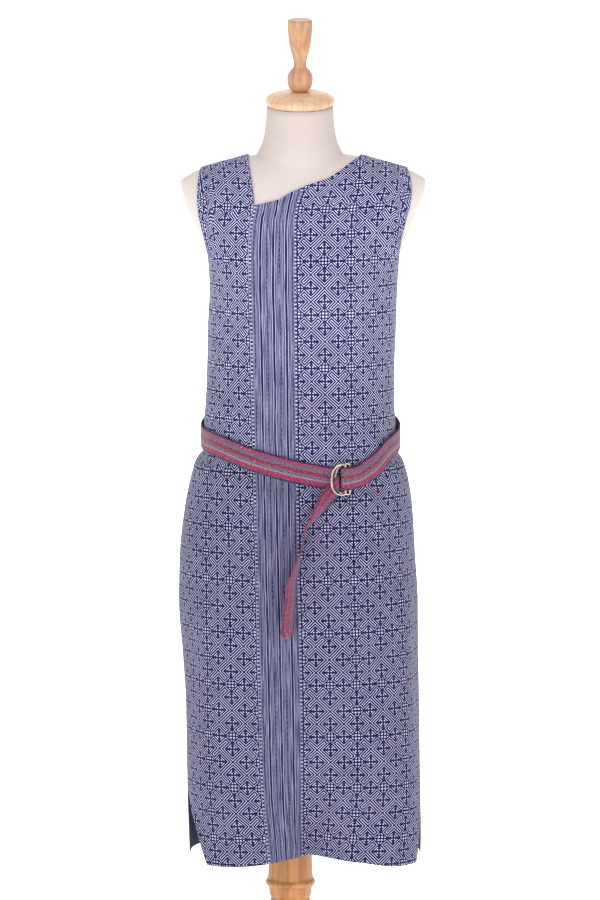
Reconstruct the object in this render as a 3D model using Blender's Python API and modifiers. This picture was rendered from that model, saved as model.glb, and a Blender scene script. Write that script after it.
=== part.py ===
"""A sleeveless sheath dress worn by a limbless dress form on its turned stand.

Metres, +Z up, the front faces -Y. The origin is on the floor, in the middle
of the round base. Angles round the dress are in degrees from the middle of
the front, positive towards +X, with 180 in the middle of the back.
"""
import math
from collections import namedtuple
from functools import lru_cache

import bmesh
import bpy
from mathutils import Matrix, Vector

PART_NAME = "sheath_dress_on_dress_form"

# Cloth
WALL = 0.0013            # thickness of the dress cloth
SEAM_GAP = 0.0004        # between neighbouring cloth pieces
SIDE_GAP = 0.0007        # the same at side and shoulder seams, where the cloth turns
REST_GAP = 0.0003        # between pieces that touch
SHOULDER_LIFT = 0.0029   # outer face of the dress over the form's shoulder
ARMPIT = 1.222           # top of the side seams
SLIT_TOP = 0.490         # both side seams are open below this
BACK_HEM = 0.307
FORM_SHIFT = 0.015       # the form stands this far to +X of its column

# Belt and its two D-rings
BELT_WIDTH = 0.0345
BELT_WALL = 0.0016
WAIST_HOLLOW = 0.0055    # how far the belt draws the front and back in
WAIST_HALF = 0.034       # half the height of the band that it draws in
BLOUSE = 0.0030          # the fullness that rests above the belt
BLOUSE_RISE = 0.050
BUCKLE_ANGLE = 30.5      # where the straight bar of the front ring lies
RING_WIRE = 0.0017       # radius of the wire
RING_HEIGHT = 0.0461     # between the middles of the wire
RING_REACH = 0.0225      # from the straight bar to the far side of the bow
RING_CORNER = 0.0030
RING_SQUARE = 0.80       # 1 gives a half ellipse for the bow
RING_STEP = 0.0078       # the rear ring's bar lies this far along the belt
RING_DROP = 0.0012       # the rings hang this far below the belt's middle
RING_LEAN = 10.0         # degrees that the front ring leans out over the tail
REAR_RING_LIFT = 0.0052  # middle of the wire over the dress
FRONT_RING_LIFT = 0.0094
FOLD_RADIUS = 0.0051     # the belt's end turns round both bars
FOLD_LIFT = 0.0021       # middle of the end that is sewn down behind
STRAP_END = -0.0106      # the belt ends here, beside the rings' middle
FREE_START = 0.0430      # from here on the belt lies on the dress
FRINGE_LENGTH = 0.0120
FRINGE_STRANDS = 11
FRINGE_BACKING = 0.0020

# Form and stand
NECK_TOP = 1.4690
NECK_TILT = 10.0         # degrees that the neck plate leans to the front
BASE_RADIUS = 0.215
BASE_HEIGHT = 0.024
COLUMN_TOP = 0.420
POLE_RADIUS = 0.0140

SectionRow = namedtuple("SectionRow", "height left right front back square")
DRESS_SECTIONS = (
    SectionRow(1.400, 0.1870, 0.1970, 0.0905, 0.0975, 2.30),
    SectionRow(1.350, 0.1855, 0.1950, 0.0960, 0.1040, 2.30),
    SectionRow(1.300, 0.1705, 0.1785, 0.1065, 0.1135, 2.30),
    SectionRow(1.260, 0.1530, 0.1625, 0.1155, 0.1155, 2.30),
    SectionRow(1.222, 0.1400, 0.1510, 0.1240, 0.1145, 2.30),
    SectionRow(1.190, 0.1385, 0.1490, 0.1290, 0.1115, 2.30),
    SectionRow(1.135, 0.1411, 0.1473, 0.1270, 0.1075, 2.30),
    SectionRow(1.060, 0.1429, 0.1448, 0.1225, 0.1035, 2.30),
    SectionRow(1.005, 0.1455, 0.1450, 0.1195, 0.1025, 2.30),
    SectionRow(0.965, 0.1478, 0.1470, 0.1190, 0.1050, 2.30),
    SectionRow(0.930, 0.1595, 0.1575, 0.1220, 0.1120, 2.30),
    SectionRow(0.893, 0.1696, 0.1675, 0.1270, 0.1210, 2.30),
    SectionRow(0.856, 0.1770, 0.1728, 0.1310, 0.1270, 2.35),
    SectionRow(0.781, 0.1854, 0.1777, 0.1350, 0.1310, 2.40),
    SectionRow(0.706, 0.1872, 0.1826, 0.1340, 0.1300, 2.50),
    SectionRow(0.631, 0.1820, 0.1834, 0.1290, 0.1260, 2.60),
    SectionRow(0.555, 0.1770, 0.1850, 0.1230, 0.1210, 2.70),
    SectionRow(0.480, 0.1757, 0.1860, 0.1180, 0.1170, 2.80),
    SectionRow(0.404, 0.1750, 0.1872, 0.1130, 0.1140, 2.95),
    SectionRow(0.340, 0.1731, 0.1885, 0.1090, 0.1120, 3.10),
    SectionRow(0.290, 0.1715, 0.1875, 0.1070, 0.1110, 3.20),
)
FORM_SECTIONS = (
    SectionRow(1.400, 0.1838, 0.1938, 0.0870, 0.0940, 2.30),
    SectionRow(1.350, 0.1823, 0.1921, 0.0925, 0.1005, 2.30),
    SectionRow(1.300, 0.1670, 0.1750, 0.1030, 0.1100, 2.30),
    SectionRow(1.260, 0.1490, 0.1585, 0.1120, 0.1120, 2.30),
    SectionRow(1.222, 0.1360, 0.1470, 0.1200, 0.1105, 2.30),
    SectionRow(1.190, 0.1335, 0.1440, 0.1240, 0.1070, 2.30),
    SectionRow(1.135, 0.1320, 0.1385, 0.1180, 0.1010, 2.25),
    SectionRow(1.060, 0.1260, 0.1285, 0.1050, 0.0920, 2.20),
    SectionRow(1.005, 0.1270, 0.1270, 0.1010, 0.0900, 2.20),
    SectionRow(0.965, 0.1320, 0.1320, 0.1020, 0.0930, 2.20),
    SectionRow(0.930, 0.1380, 0.1380, 0.1040, 0.0970, 2.20),
    SectionRow(0.893, 0.1450, 0.1440, 0.1080, 0.1040, 2.20),
    SectionRow(0.856, 0.1520, 0.1500, 0.1130, 0.1120, 2.20),
    SectionRow(0.781, 0.1590, 0.1560, 0.1170, 0.1170, 2.20),
    SectionRow(0.706, 0.1570, 0.1550, 0.1140, 0.1140, 2.20),
    SectionRow(0.690, 0.1500, 0.1480, 0.1070, 0.1070, 2.20),
)
FORM_LEVELS = (
    0.690, 0.706, 0.760, 0.820, 0.880, 0.940, 1.005, 1.070, 1.135, 1.190, 1.225, 1.260,
    1.295, 1.325, 1.345, 1.357, 1.365, 1.372, 1.378, 1.384, 1.389, 1.394, 1.400, 1.410,
    1.428, 1.450)
FORM_SIDES = 40

# Height of the form's shoulder line, by distance from the shoulders' middle
ShoulderRow = namedtuple("ShoulderRow", "across height")
SHOULDER_MIDDLE = 0.006
SHOULDER_ROUND_FROM = 1.250
SHOULDER_ROUND_POWER = 2.2
SHOULDER_LINE = (
    ShoulderRow(0.000, 1.3980),
    ShoulderRow(0.085, 1.3925),
    ShoulderRow(0.110, 1.3858),
    ShoulderRow(0.146, 1.3762),
    ShoulderRow(0.160, 1.3715),
    ShoulderRow(0.174, 1.3650),
    ShoulderRow(0.184, 1.3585),
    ShoulderRow(0.198, 1.3460),
)

# The neck is round; its flare runs out along the shoulders only
NeckRow = namedtuple("NeckRow", "height radius flare")
NECK_BLEND = 0.014
NECK_SECTIONS = (
    NeckRow(1.300, 0.0560, 0.0000),
    NeckRow(1.380, 0.0575, 0.0100),
    NeckRow(1.394, 0.0570, 0.0090),
    NeckRow(1.402, 0.0565, 0.0065),
    NeckRow(1.412, 0.0560, 0.0020),
    NeckRow(1.430, 0.0540, 0.0000),
    NeckRow(1.450, 0.0518, 0.0000),
    NeckRow(1.480, 0.0510, 0.0000),
)

# Across is measured along X from the middle of the form
EdgeRow = namedtuple("EdgeRow", "height across")
LEFT_ARMHOLE = (
    EdgeRow(1.222, -0.1395),
    EdgeRow(1.242, -0.1405),
    EdgeRow(1.261, -0.1442),
    EdgeRow(1.289, -0.1507),
    EdgeRow(1.311, -0.1552),
    EdgeRow(1.332, -0.1563),
    EdgeRow(1.357, -0.1553),
    EdgeRow(1.377, -0.1516),
)
RIGHT_ARMHOLE = (
    EdgeRow(1.222, 0.1505),
    EdgeRow(1.242, 0.1512),
    EdgeRow(1.257, 0.1530),
    EdgeRow(1.273, 0.1560),
    EdgeRow(1.296, 0.1612),
    EdgeRow(1.321, 0.1677),
    EdgeRow(1.341, 0.1699),
    EdgeRow(1.357, 0.1690),
    EdgeRow(1.3725, 0.1645),
)

# The front seam follows the left border of the striped band; above the notch
# the same line goes on as the left edge of the neck opening.
NECK_LEFT = -0.0790
FRONT_SEAM = (
    EdgeRow(1.3945, NECK_LEFT),
    EdgeRow(1.380, -0.0770),
    EdgeRow(1.350, -0.0720),
    EdgeRow(1.321, -0.0693),
    EdgeRow(1.300, -0.0750),
    EdgeRow(1.256, -0.0781),
    EdgeRow(1.150, -0.0765),
    EdgeRow(1.030, -0.0739),
    EdgeRow(0.900, -0.0710),
    EdgeRow(0.788, -0.0680),
    EdgeRow(0.660, -0.0658),
    EdgeRow(0.573, -0.0638),
    EdgeRow(0.430, -0.0596),
    EdgeRow(0.330, -0.0500),
    EdgeRow(0.290, -0.0470),
)

# Neck edges of the left front, from the notch up, and of the back
NecklineRow = namedtuple("NecklineRow", "across height")
NECK_RIGHT = 0.0935
NOTCH_HEIGHT = 1.3214
FRONT_NECKLINE = (
    NecklineRow(-0.0693, NOTCH_HEIGHT),
    NecklineRow(-0.0530, 1.3255),
    NecklineRow(-0.0331, 1.3305),
    NecklineRow(-0.0142, 1.3410),
    NecklineRow(0.0160, 1.3535),
    NecklineRow(0.0392, 1.3608),
    NecklineRow(0.0565, 1.3700),
    NecklineRow(0.0712, 1.3805),
    NecklineRow(0.0859, 1.3905),
    NecklineRow(NECK_RIGHT, 1.3945),
)
BACK_NECKLINE = (
    NecklineRow(NECK_LEFT, 1.3945),
    NecklineRow(-0.0640, 1.3790),
    NecklineRow(-0.0380, 1.3630),
    NecklineRow(0.0070, 1.3570),
    NecklineRow(0.0520, 1.3630),
    NecklineRow(0.0790, 1.3790),
    NecklineRow(NECK_RIGHT, 1.3945),
)

# How far, in degrees, the free front edges stand inside the side seams
SlitRow = namedtuple("SlitRow", "height left right")
SLIT_OPENING = (
    SlitRow(0.290, 34.0, 21.0),
    SlitRow(0.360, 23.0, 13.0),
    SlitRow(0.430, 9.0, 4.0),
    SlitRow(SLIT_TOP, 0.0, 0.0),
    SlitRow(0.520, 0.0, 0.0),
)

HemRow = namedtuple("HemRow", "angle height")
FRONT_HEM = (
    HemRow(-90.0, 0.3080),
    HemRow(-62.0, 0.3080),
    HemRow(-45.0, 0.3085),
    HemRow(-28.0, 0.3125),
    HemRow(-5.0, 0.3200),
    HemRow(18.0, 0.3210),
    HemRow(42.0, 0.3150),
    HemRow(58.0, 0.3075),
    HemRow(75.0, 0.3070),
    HemRow(90.0, 0.3080),
)

# Large soft folds, outward positive: they start at top and are full at full
FoldRow = namedtuple("FoldRow", "angle width depth top full foot")
FOLDS = (
    FoldRow(12.0, 17.0, -0.036, 0.520, 0.300, 0.100),
    FoldRow(-47.0, 13.0, 0.007, 0.640, 0.320, 0.100),
    FoldRow(57.0, 13.0, 0.008, 0.680, 0.320, 0.100),
    FoldRow(-70.0, 8.0, -0.004, 0.820, 0.600, 0.340),
    FoldRow(34.0, 9.0, -0.004, 0.850, 0.640, 0.450),
    FoldRow(-20.0, 9.0, 0.003, 0.850, 0.740, 0.540),
    FoldRow(78.0, 8.0, -0.005, 0.840, 0.620, 0.380),
    FoldRow(180.0, 15.0, -0.014, 0.860, 0.340, 0.100),
    FoldRow(-149.0, 13.0, 0.009, 0.800, 0.360, 0.100),
    FoldRow(151.0, 12.0, 0.010, 0.760, 0.380, 0.100),
    FoldRow(118.0, 9.0, -0.007, 0.840, 0.500, 0.240),
    FoldRow(-121.0, 10.0, -0.006, 0.800, 0.460, 0.240),
)

# The belt's middle line: higher behind, lowest at the rings
BeltRow = namedtuple("BeltRow", "angle height clearance")
BELT_LINE = (
    BeltRow(-225.0, 0.9920, 0.0030),
    BeltRow(-180.0, 1.0040, 0.0008),
    BeltRow(-135.0, 0.9900, 0.0018),
    BeltRow(-90.0, 0.9650, 0.0030),
    BeltRow(-60.0, 0.9560, 0.0014),
    BeltRow(-30.0, 0.9360, 0.0010),
    BeltRow(0.0, 0.9200, 0.0012),
    BeltRow(28.5, 0.9110, 0.0010),
    BeltRow(38.0, 0.9132, 0.0009),
    BeltRow(48.5, 0.9240, 0.0020),
    BeltRow(65.0, 0.9495, 0.0034),
    BeltRow(90.0, 0.9640, 0.0055),
    BeltRow(135.0, 0.9900, 0.0030),
    BeltRow(180.0, 1.0040, 0.0008),
    BeltRow(225.0, 0.9900, 0.0018),
)
BELT_STATIONS = 52

# The belt near the rings: distance from the bars and lift from the dress
RouteRow = namedtuple("RouteRow", "along lift")
SEWN_END = (
    RouteRow(0.0240, 0.0020),
    RouteRow(0.0120, 0.0021),
    RouteRow(0.0015, FOLD_LIFT),
)
OVER_RINGS = (
    RouteRow(0.0015, FOLD_LIFT + 2.0 * FOLD_RADIUS),
    RouteRow(0.0085, 0.0116),
    RouteRow(0.0160, 0.0096),
    RouteRow(0.0240, 0.0066),
    RouteRow(0.0320, 0.0040),
)

# The belt's tail, from inside the rings down to its end. Along and rise start
# at the front ring's bar; lift is from the dress to the tail's nearest edge;
# lean turns its width in the plane of the front and twist turns it outwards.
TailRow = namedtuple("TailRow", "along rise lift width lean twist")
TAIL = (
    TailRow(-0.0092, -0.0040, 0.0009, 0.0200, 0.0, 0.0),
    TailRow(-0.0093, -0.0040, 0.0052, 0.0200, 0.0, 0.0),
    TailRow(-0.0108, -0.0055, 0.0080, 0.0210, 8.0, 0.0),
    TailRow(-0.0150, -0.0105, 0.0082, 0.0230, 24.0, 0.0),
    TailRow(-0.0190, -0.0185, 0.0084, 0.0240, 38.0, 0.0),
    TailRow(-0.0316, -0.0294, 0.0065, 0.0240, 47.0, 12.0),
    TailRow(-0.0440, -0.0450, 0.0046, 0.0240, 58.0, 38.0),
    TailRow(-0.0553, -0.0597, 0.0040, 0.0260, 66.0, 60.0),
    TailRow(-0.0643, -0.0719, 0.0038, 0.0290, 74.0, 71.0),
    TailRow(-0.0673, -0.0853, 0.0036, 0.0310, 82.0, 76.0),
    TailRow(-0.0718, -0.1023, 0.0034, 0.0320, 86.0, 78.0),
    TailRow(-0.0771, -0.1267, 0.0032, 0.0335, 88.0, 69.0),
    TailRow(-0.0846, -0.1587, 0.0030, 0.0345, 90.0, 62.0),
    TailRow(-0.0854, -0.1816, 0.0030, 0.0345, 90.0, 60.0),
    TailRow(-0.0880, -0.2045, 0.0032, 0.0345, 91.0, 56.0),
    TailRow(-0.0892, -0.2300, 0.0036, 0.0345, 92.0, 54.0),
)

# Turned profiles, top to bottom
TurnedRow = namedtuple("TurnedRow", "height radius")
COLUMN_PROFILE = (
    TurnedRow(COLUMN_TOP, 0.0190),
    TurnedRow(0.412, 0.0225),
    TurnedRow(0.385, 0.0290),
    TurnedRow(0.340, 0.0330),
    TurnedRow(0.300, 0.0335),
    TurnedRow(0.275, 0.0345),
    TurnedRow(0.2685, 0.0353),
    TurnedRow(0.2655, 0.0375),
    TurnedRow(0.2620, 0.0384),
    TurnedRow(0.2585, 0.0375),
    TurnedRow(0.2550, 0.0336),
    TurnedRow(0.2460, 0.0328),
    TurnedRow(0.2400, 0.0315),
    TurnedRow(0.2385, 0.0298),
    TurnedRow(0.2365, 0.0298),
    TurnedRow(0.2350, 0.0312),
    TurnedRow(0.150, 0.0300),
    TurnedRow(0.070, 0.0306),
    TurnedRow(0.048, 0.0345),
    TurnedRow(0.036, 0.0395),
    TurnedRow(BASE_HEIGHT + REST_GAP, 0.0400),
)
BASE_PROFILE = (
    TurnedRow(BASE_HEIGHT, 0.060),
    TurnedRow(0.0225, 0.150),
    TurnedRow(0.0190, 0.195),
    TurnedRow(0.0145, 0.209),
    TurnedRow(0.0085, BASE_RADIUS),
    TurnedRow(0.0035, BASE_RADIUS),
    TurnedRow(0.0000, 0.2115),
)
CAP_PROFILE = (
    TurnedRow(0.0215, 0.0120),
    TurnedRow(0.0210, 0.0230),
    TurnedRow(0.0190, 0.0350),
    TurnedRow(0.0160, 0.0450),
    TurnedRow(0.0120, 0.0515),
    TurnedRow(0.0080, 0.0535),
    TurnedRow(0.0040, 0.0525),
    TurnedRow(0.0010, 0.0505),
    TurnedRow(0.0000, 0.0490),
)
FINIAL_PROFILE = (
    TurnedRow(0.1320, 0.0165),
    TurnedRow(0.1305, 0.0186),
    TurnedRow(0.1280, 0.0193),
    TurnedRow(0.1180, 0.0189),
    TurnedRow(0.1050, 0.0178),
    TurnedRow(0.0930, 0.0162),
    TurnedRow(0.0830, 0.0140),
    TurnedRow(0.0740, 0.0113),
    TurnedRow(0.0670, 0.0099),
    TurnedRow(0.0600, 0.0101),
    TurnedRow(0.0565, 0.0122),
    TurnedRow(0.0530, 0.0157),
    TurnedRow(0.0475, 0.0186),
    TurnedRow(0.0410, 0.0197),
    TurnedRow(0.0345, 0.0192),
    TurnedRow(0.0280, 0.0170),
    TurnedRow(0.0240, 0.0140),
    TurnedRow(0.0218, 0.0105),
)

# Rows and columns of the cloth
FRONT_RIGHT_COLUMNS = 11
FRONT_LEFT_COLUMNS = 21
BACK_COLUMNS = 28
SLIT_ROWS = 5
SKIRT_ROWS = 6
WAIST_STEPS = (-0.052, -0.034, -0.018, 0.000, 0.018, 0.034, 0.056)
BODICE_ROWS = 4
YOKE_PARTS = (0.05, 0.11, 0.20, 0.34, 0.50, 0.66, 0.80, 0.90, 0.965, 0.993, 1.0)
NOTCH_PARTS = 8          # the right front shares these rows below the notch
UPPER_PARTS = (0.68, 0.80, 0.90, 0.965, 0.993, 1.0)

# Where single columns end at the top: they lie close at the neck's corners
CornerRow = namedtuple("CornerRow", "column across")
FRONT_LEFT_CORNERS = (
    CornerRow(12, 0.0820),
    CornerRow(13, 0.0890),
    CornerRow(14, NECK_RIGHT),
)
BACK_CORNERS = (
    CornerRow(7, NECK_RIGHT),
    CornerRow(8, 0.0900),
    CornerRow(9, 0.0835),
    CornerRow(10, 0.0735),
    CornerRow(17, -0.0590),
    CornerRow(18, -0.0690),
    CornerRow(19, -0.0755),
    CornerRow(20, NECK_LEFT),
)


@lru_cache(maxsize=None)
def prepared(rows, column, key):
    """Places, values and slopes of one column, with no overshoot between rows."""
    table = sorted(rows, key=lambda row: getattr(row, key))
    places = [getattr(row, key) for row in table]
    values = [getattr(row, column) for row in table]
    steps = [after - before for before, after in zip(places, places[1:])]
    rises = [(after - before) / step for before, after, step in zip(values, values[1:], steps)]
    slopes = [rises[0]]
    for i in range(1, len(places) - 1):
        before, after = rises[i - 1], rises[i]
        slope = 0.0
        if before * after > 0.0:
            first = 2.0 * steps[i] + steps[i - 1]
            second = steps[i] + 2.0 * steps[i - 1]
            slope = (first + second) / (first / before + second / after)
        slopes.append(slope)
    slopes.append(rises[-1])
    return places, values, slopes


def read(rows, column, key, at):
    """Read one column of a table at any place along its key."""
    places, values, slopes = prepared(rows, column, key)
    at = min(max(at, places[0]), places[-1])
    i = 0
    while i < len(places) - 2 and at > places[i + 1]:
        i += 1
    step = places[i + 1] - places[i]
    t = (at - places[i]) / step
    start = (1.0 + 2.0 * t) * (1.0 - t) ** 2 * values[i] + t * (1.0 - t) ** 2 * step * slopes[i]
    end = t * t * (3.0 - 2.0 * t) * values[i + 1] + t * t * (t - 1.0) * step * slopes[i + 1]
    return start + end


def mix(first, second, share):
    return first + (second - first) * share


def ease(value):
    value = min(max(value, 0.0), 1.0)
    return value * value * (3.0 - 2.0 * value)


def wrapped(angle):
    """Bring an angle into -180 to 180 degrees."""
    return (angle + 180.0) % 360.0 - 180.0


def piecewise(stops, share):
    """Follow straight runs between (share, value) stops."""
    for (start, low), (end, high) in zip(stops, stops[1:]):
        if share <= end:
            return mix(low, high, (share - start) / (end - start))
    return stops[-1][1]


def placed(x, y, z):
    return Vector((x + FORM_SHIFT, y, z))


def shoulder_height(x, lift):
    return read(SHOULDER_LINE, "height", "across", abs(x - SHOULDER_MIDDLE)) + lift


def shoulder_rounding(x, z, lift):
    """1 on the chest, falling to 0 along the shoulder line."""
    top = shoulder_height(x, lift)
    part = (z - SHOULDER_ROUND_FROM) / (top - SHOULDER_ROUND_FROM)
    part = min(max(part, 0.0), 1.0)
    return (1.0 - part ** SHOULDER_ROUND_POWER) ** (1.0 / SHOULDER_ROUND_POWER)


def section_radius(rows, angle, z):
    """Distance from the upright axis to one level section."""
    across = math.sin(math.radians(angle))
    forward = math.cos(math.radians(angle))
    half = read(rows, "right" if across >= 0.0 else "left", "height", z)
    deep = read(rows, "front" if forward >= 0.0 else "back", "height", z)
    power = read(rows, "square", "height", z)
    return ((abs(across) / half) ** power + (abs(forward) / deep) ** power) ** (-1.0 / power)


def section_depth(rows, x, z, face, lift):
    """Depth of a section at one place across, rounded over at the shoulder."""
    half = read(rows, "right" if x >= 0.0 else "left", "height", z)
    deep = read(rows, face, "height", z)
    power = read(rows, "square", "height", z)
    part = min(abs(x) / half, 1.0)
    return deep * (1.0 - part ** power) ** (1.0 / power) * shoulder_rounding(x, z, lift)


def fold_offset(angle, z):
    total = 0.0
    for fold in FOLDS:
        turn = wrapped(angle - fold.angle) / fold.width
        from_top = ease((fold.top - z) / (fold.top - fold.full))
        from_foot = ease((z - fold.foot) / (fold.full - fold.foot))
        total += fold.depth * min(from_top, from_foot) * math.exp(-turn * turn)
    return total


def belt_height(angle):
    return read(BELT_LINE, "height", "angle", wrapped(angle))


def dress_radius(angle, z):
    """The belt draws a level band in, and a little fullness rests above it."""
    line = belt_height(angle)
    facing = abs(math.cos(math.radians(angle)))
    hold = math.exp(-((z - line) / WAIST_HALF) ** 6)
    full = math.exp(-((z - line - BLOUSE_RISE) / (0.6 * WAIST_HALF)) ** 2)
    loose = section_radius(DRESS_SECTIONS, angle, z) + fold_offset(angle, z) + BLOUSE * facing * full
    held = section_radius(DRESS_SECTIONS, angle, line) - WAIST_HOLLOW * facing
    return mix(loose, held, hold)


def angle_across(x, z, face):
    """Angle, 0 to 90 from the middle of one face, of a place this far across."""
    side = math.copysign(1.0, x)
    near, far = 0.0, 90.0
    for _ in range(26):
        middle = 0.5 * (near + far)
        turn = middle if face == "front" else 180.0 - middle
        if dress_radius(side * turn, z) * math.sin(math.radians(turn)) < abs(x):
            near = middle
        else:
            far = middle
    return side * near


def dress_place(angle, z, shift):
    reach = dress_radius(angle, z)
    turn = math.radians(angle)
    return placed(reach * math.sin(turn), -reach * math.cos(turn) + shift, z)


def material(name, colour, roughness, metallic=0.0):
    shade = bpy.data.materials.new(name)
    shade.use_nodes = True
    shader = shade.node_tree.nodes["Principled BSDF"]
    shader.inputs["Base Color"].default_value = (*colour, 1.0)
    shader.inputs["Roughness"].default_value = roughness
    shader.inputs["Metallic"].default_value = metallic
    return shade


def add_piece(name, collection, mesh, shade, crease=35.0):
    mesh.shade_smooth()
    mesh.set_sharp_from_angle(angle=math.radians(crease))
    mesh.materials.append(shade)
    piece = bpy.data.objects.new(name, mesh)
    collection.objects.link(piece)
    return piece


def add_bmesh(name, collection, bm, shade, crease=35.0):
    mesh = bpy.data.meshes.new(name)
    bm.to_mesh(mesh)
    bm.free()
    return add_piece(name, collection, mesh, shade, crease)


def add_sheet(name, collection, grid, wall, side, shade):
    """An open sheet through a grid of places; Solidify gives it its wall."""
    bm = bmesh.new()
    points = [[bm.verts.new(place) for place in row] for row in grid]
    for low, high in zip(points, points[1:]):
        for i in range(len(low) - 1):
            bm.faces.new((low[i], low[i + 1], high[i + 1], high[i]))
    piece = add_bmesh(name, collection, bm, shade)
    thickness = piece.modifiers.new("wall", "SOLIDIFY")
    thickness.thickness = wall
    thickness.offset = side
    return piece


def add_turned(name, collection, profile, shade, steps, tilt=0.0, base=Vector()):
    """A turned piece: the profile runs down its outer side to the axis."""
    bm = bmesh.new()
    places = [(0.0, profile[0].height)]
    places += [(row.radius, row.height) for row in profile]
    places.append((0.0, profile[-1].height))
    points = [bm.verts.new((radius, 0.0, height)) for radius, height in places]
    for upper, lower in zip(points, points[1:]):
        bm.edges.new((upper, lower))
    piece = add_bmesh(name, collection, bm, shade)
    turn = piece.modifiers.new("turn", "SCREW")
    turn.steps = steps
    turn.render_steps = steps
    turn.use_merge_vertices = True
    turn.merge_threshold = 0.00005
    turn.use_smooth_shade = True
    piece.location = base
    piece.rotation_euler = (math.radians(tilt), 0.0, 0.0)
    return piece


def skirt_heights(angle, hem):
    """Heights of one column's points from the hem to the armpit."""
    line = belt_height(angle)
    waist = [line + step for step in WAIST_STEPS]
    heights = [mix(hem, SLIT_TOP, i / SLIT_ROWS) for i in range(SLIT_ROWS)]
    heights += [mix(SLIT_TOP, waist[0], i / SKIRT_ROWS) for i in range(SKIRT_ROWS)]
    heights += waist[:-1]
    heights += [mix(waist[-1], ARMPIT, i / BODICE_ROWS) for i in range(BODICE_ROWS + 1)]
    return heights


def seam_across(side, z):
    return read(FRONT_SEAM, "across", "height", z) + 0.5 * side * SEAM_GAP


def front_skirt(side, columns):
    """Rows of one front from the hem to the armpit, front seam first."""
    slit = "left" if side < 0 else "right"
    count = len(skirt_heights(0.0, BACK_HEM))
    grid = []
    for number in range(count):
        row = []
        for i in range(columns + 1):
            angle, z = 45.0 * side * i / columns, skirt_heights(0.0, BACK_HEM)[number]
            for _ in range(3):
                seam = angle_across(seam_across(side, z), z, "front")
                edge = side * (90.0 - read(SLIT_OPENING, slit, "height", z))
                angle = mix(seam, edge, i / columns)
                hem = read(FRONT_HEM, "height", "angle", angle)
                z = skirt_heights(angle, hem)[number]
            row.append(dress_place(angle, z, -0.5 * SIDE_GAP))
        grid.append(row)
    return grid


def yoke_row(part, face, first, last, top_of, columns, corners):
    """One row above the armpit. First and last are (edge line, top height)."""
    first_z = mix(ARMPIT, first[1], part)
    last_z = mix(ARMPIT, last[1], part)
    start, end = first[0](first_z), last[0](last_z)
    middle_z = min(0.5 * (first_z + last_z), ARMPIT + 0.1)
    turns = [angle_across(x, middle_z, face) for x in (start, end)]
    outs = []
    for i in range(columns + 1):
        turn = mix(turns[0], turns[1], i / columns)
        full = turn if face == "front" else math.copysign(180.0, turn) - turn
        outs.append(dress_radius(full, middle_z) * math.sin(math.radians(full)))
    shares = [(out - outs[0]) / (outs[-1] - outs[0]) for out in outs]
    stops = [(0.0, 0.0)]
    stops += [(shares[row.column], (row.across - start) / (end - start)) for row in corners]
    stops.append((1.0, 1.0))
    sign = -1.0 if face == "front" else 1.0
    row = []
    for share in shares:
        x = mix(start, end, mix(share, piecewise(stops, share), part ** 2))
        z = mix(ARMPIT, top_of(x), part)
        depth = section_depth(DRESS_SECTIONS, x, z, face, SHOULDER_LIFT)
        row.append(placed(x, sign * (depth + 0.5 * SIDE_GAP), z))
    return row


def shoulder_top(x):
    return shoulder_height(x, SHOULDER_LIFT)


def front_left_top(x):
    if x >= NECK_RIGHT:
        return shoulder_top(x)
    return min(read(FRONT_NECKLINE, "height", "across", x), shoulder_top(x))


def back_top(x):
    if x <= NECK_LEFT or x >= NECK_RIGHT:
        return shoulder_top(x)
    return min(read(BACK_NECKLINE, "height", "across", x), shoulder_top(x))


def armhole_line(rows):
    return lambda z: read(rows, "across", "height", z)


def armhole_end(rows):
    """An armhole's edge line and the height of its end on the shoulder."""
    return armhole_line(rows), shoulder_top(rows[-1].across)


def build_front_right(collection):
    """The wearer's right front: it ends at the seam beside the striped band."""
    grid = front_skirt(-1, FRONT_RIGHT_COLUMNS)
    seam = (lambda z: seam_across(-1, z), shoulder_top(NECK_LEFT))
    armhole = armhole_end(LEFT_ARMHOLE)
    notch = (NOTCH_HEIGHT - ARMPIT) / (seam[1] - ARMPIT)
    parts = [notch * part for part in YOKE_PARTS[:NOTCH_PARTS]] + [notch, *UPPER_PARTS]
    for part in parts:
        grid.append(yoke_row(part, "front", seam, armhole, shoulder_top, FRONT_RIGHT_COLUMNS, ()))
    grid = [list(reversed(row)) for row in grid]
    shade = material("batik_cotton_right", (0.24, 0.24, 0.45), 0.85)
    return add_sheet("dress_front_right", collection, grid, WALL, -1.0, shade)


def build_front_left(collection):
    """The wearer's left front, with the striped band and the slanted neck."""
    grid = front_skirt(1, FRONT_LEFT_COLUMNS)
    seam = (lambda z: seam_across(1, z), NOTCH_HEIGHT)
    armhole = armhole_end(RIGHT_ARMHOLE)
    for part in YOKE_PARTS:
        grid.append(yoke_row(part, "front", seam, armhole, front_left_top,
                             FRONT_LEFT_COLUMNS, FRONT_LEFT_CORNERS))
    shade = material("batik_cotton_left", (0.26, 0.26, 0.47), 0.85)
    return add_sheet("dress_front_left", collection, grid, WALL, -1.0, shade)


def build_back(collection):
    """The back in one piece, from side seam to side seam."""
    grid = []
    for number in range(len(skirt_heights(0.0, BACK_HEM))):
        row = []
        for i in range(BACK_COLUMNS + 1):
            angle = 90.0 + 180.0 * i / BACK_COLUMNS
            z = skirt_heights(angle, BACK_HEM)[number]
            row.append(dress_place(angle, z, 0.5 * SIDE_GAP))
        grid.append(row)
    right, left = armhole_end(RIGHT_ARMHOLE), armhole_end(LEFT_ARMHOLE)
    for part in YOKE_PARTS:
        grid.append(yoke_row(part, "back", right, left, back_top, BACK_COLUMNS, BACK_CORNERS))
    shade = material("batik_cotton_back", (0.22, 0.22, 0.42), 0.85)
    return add_sheet("dress_back", collection, grid, WALL, -1.0, shade)


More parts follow.
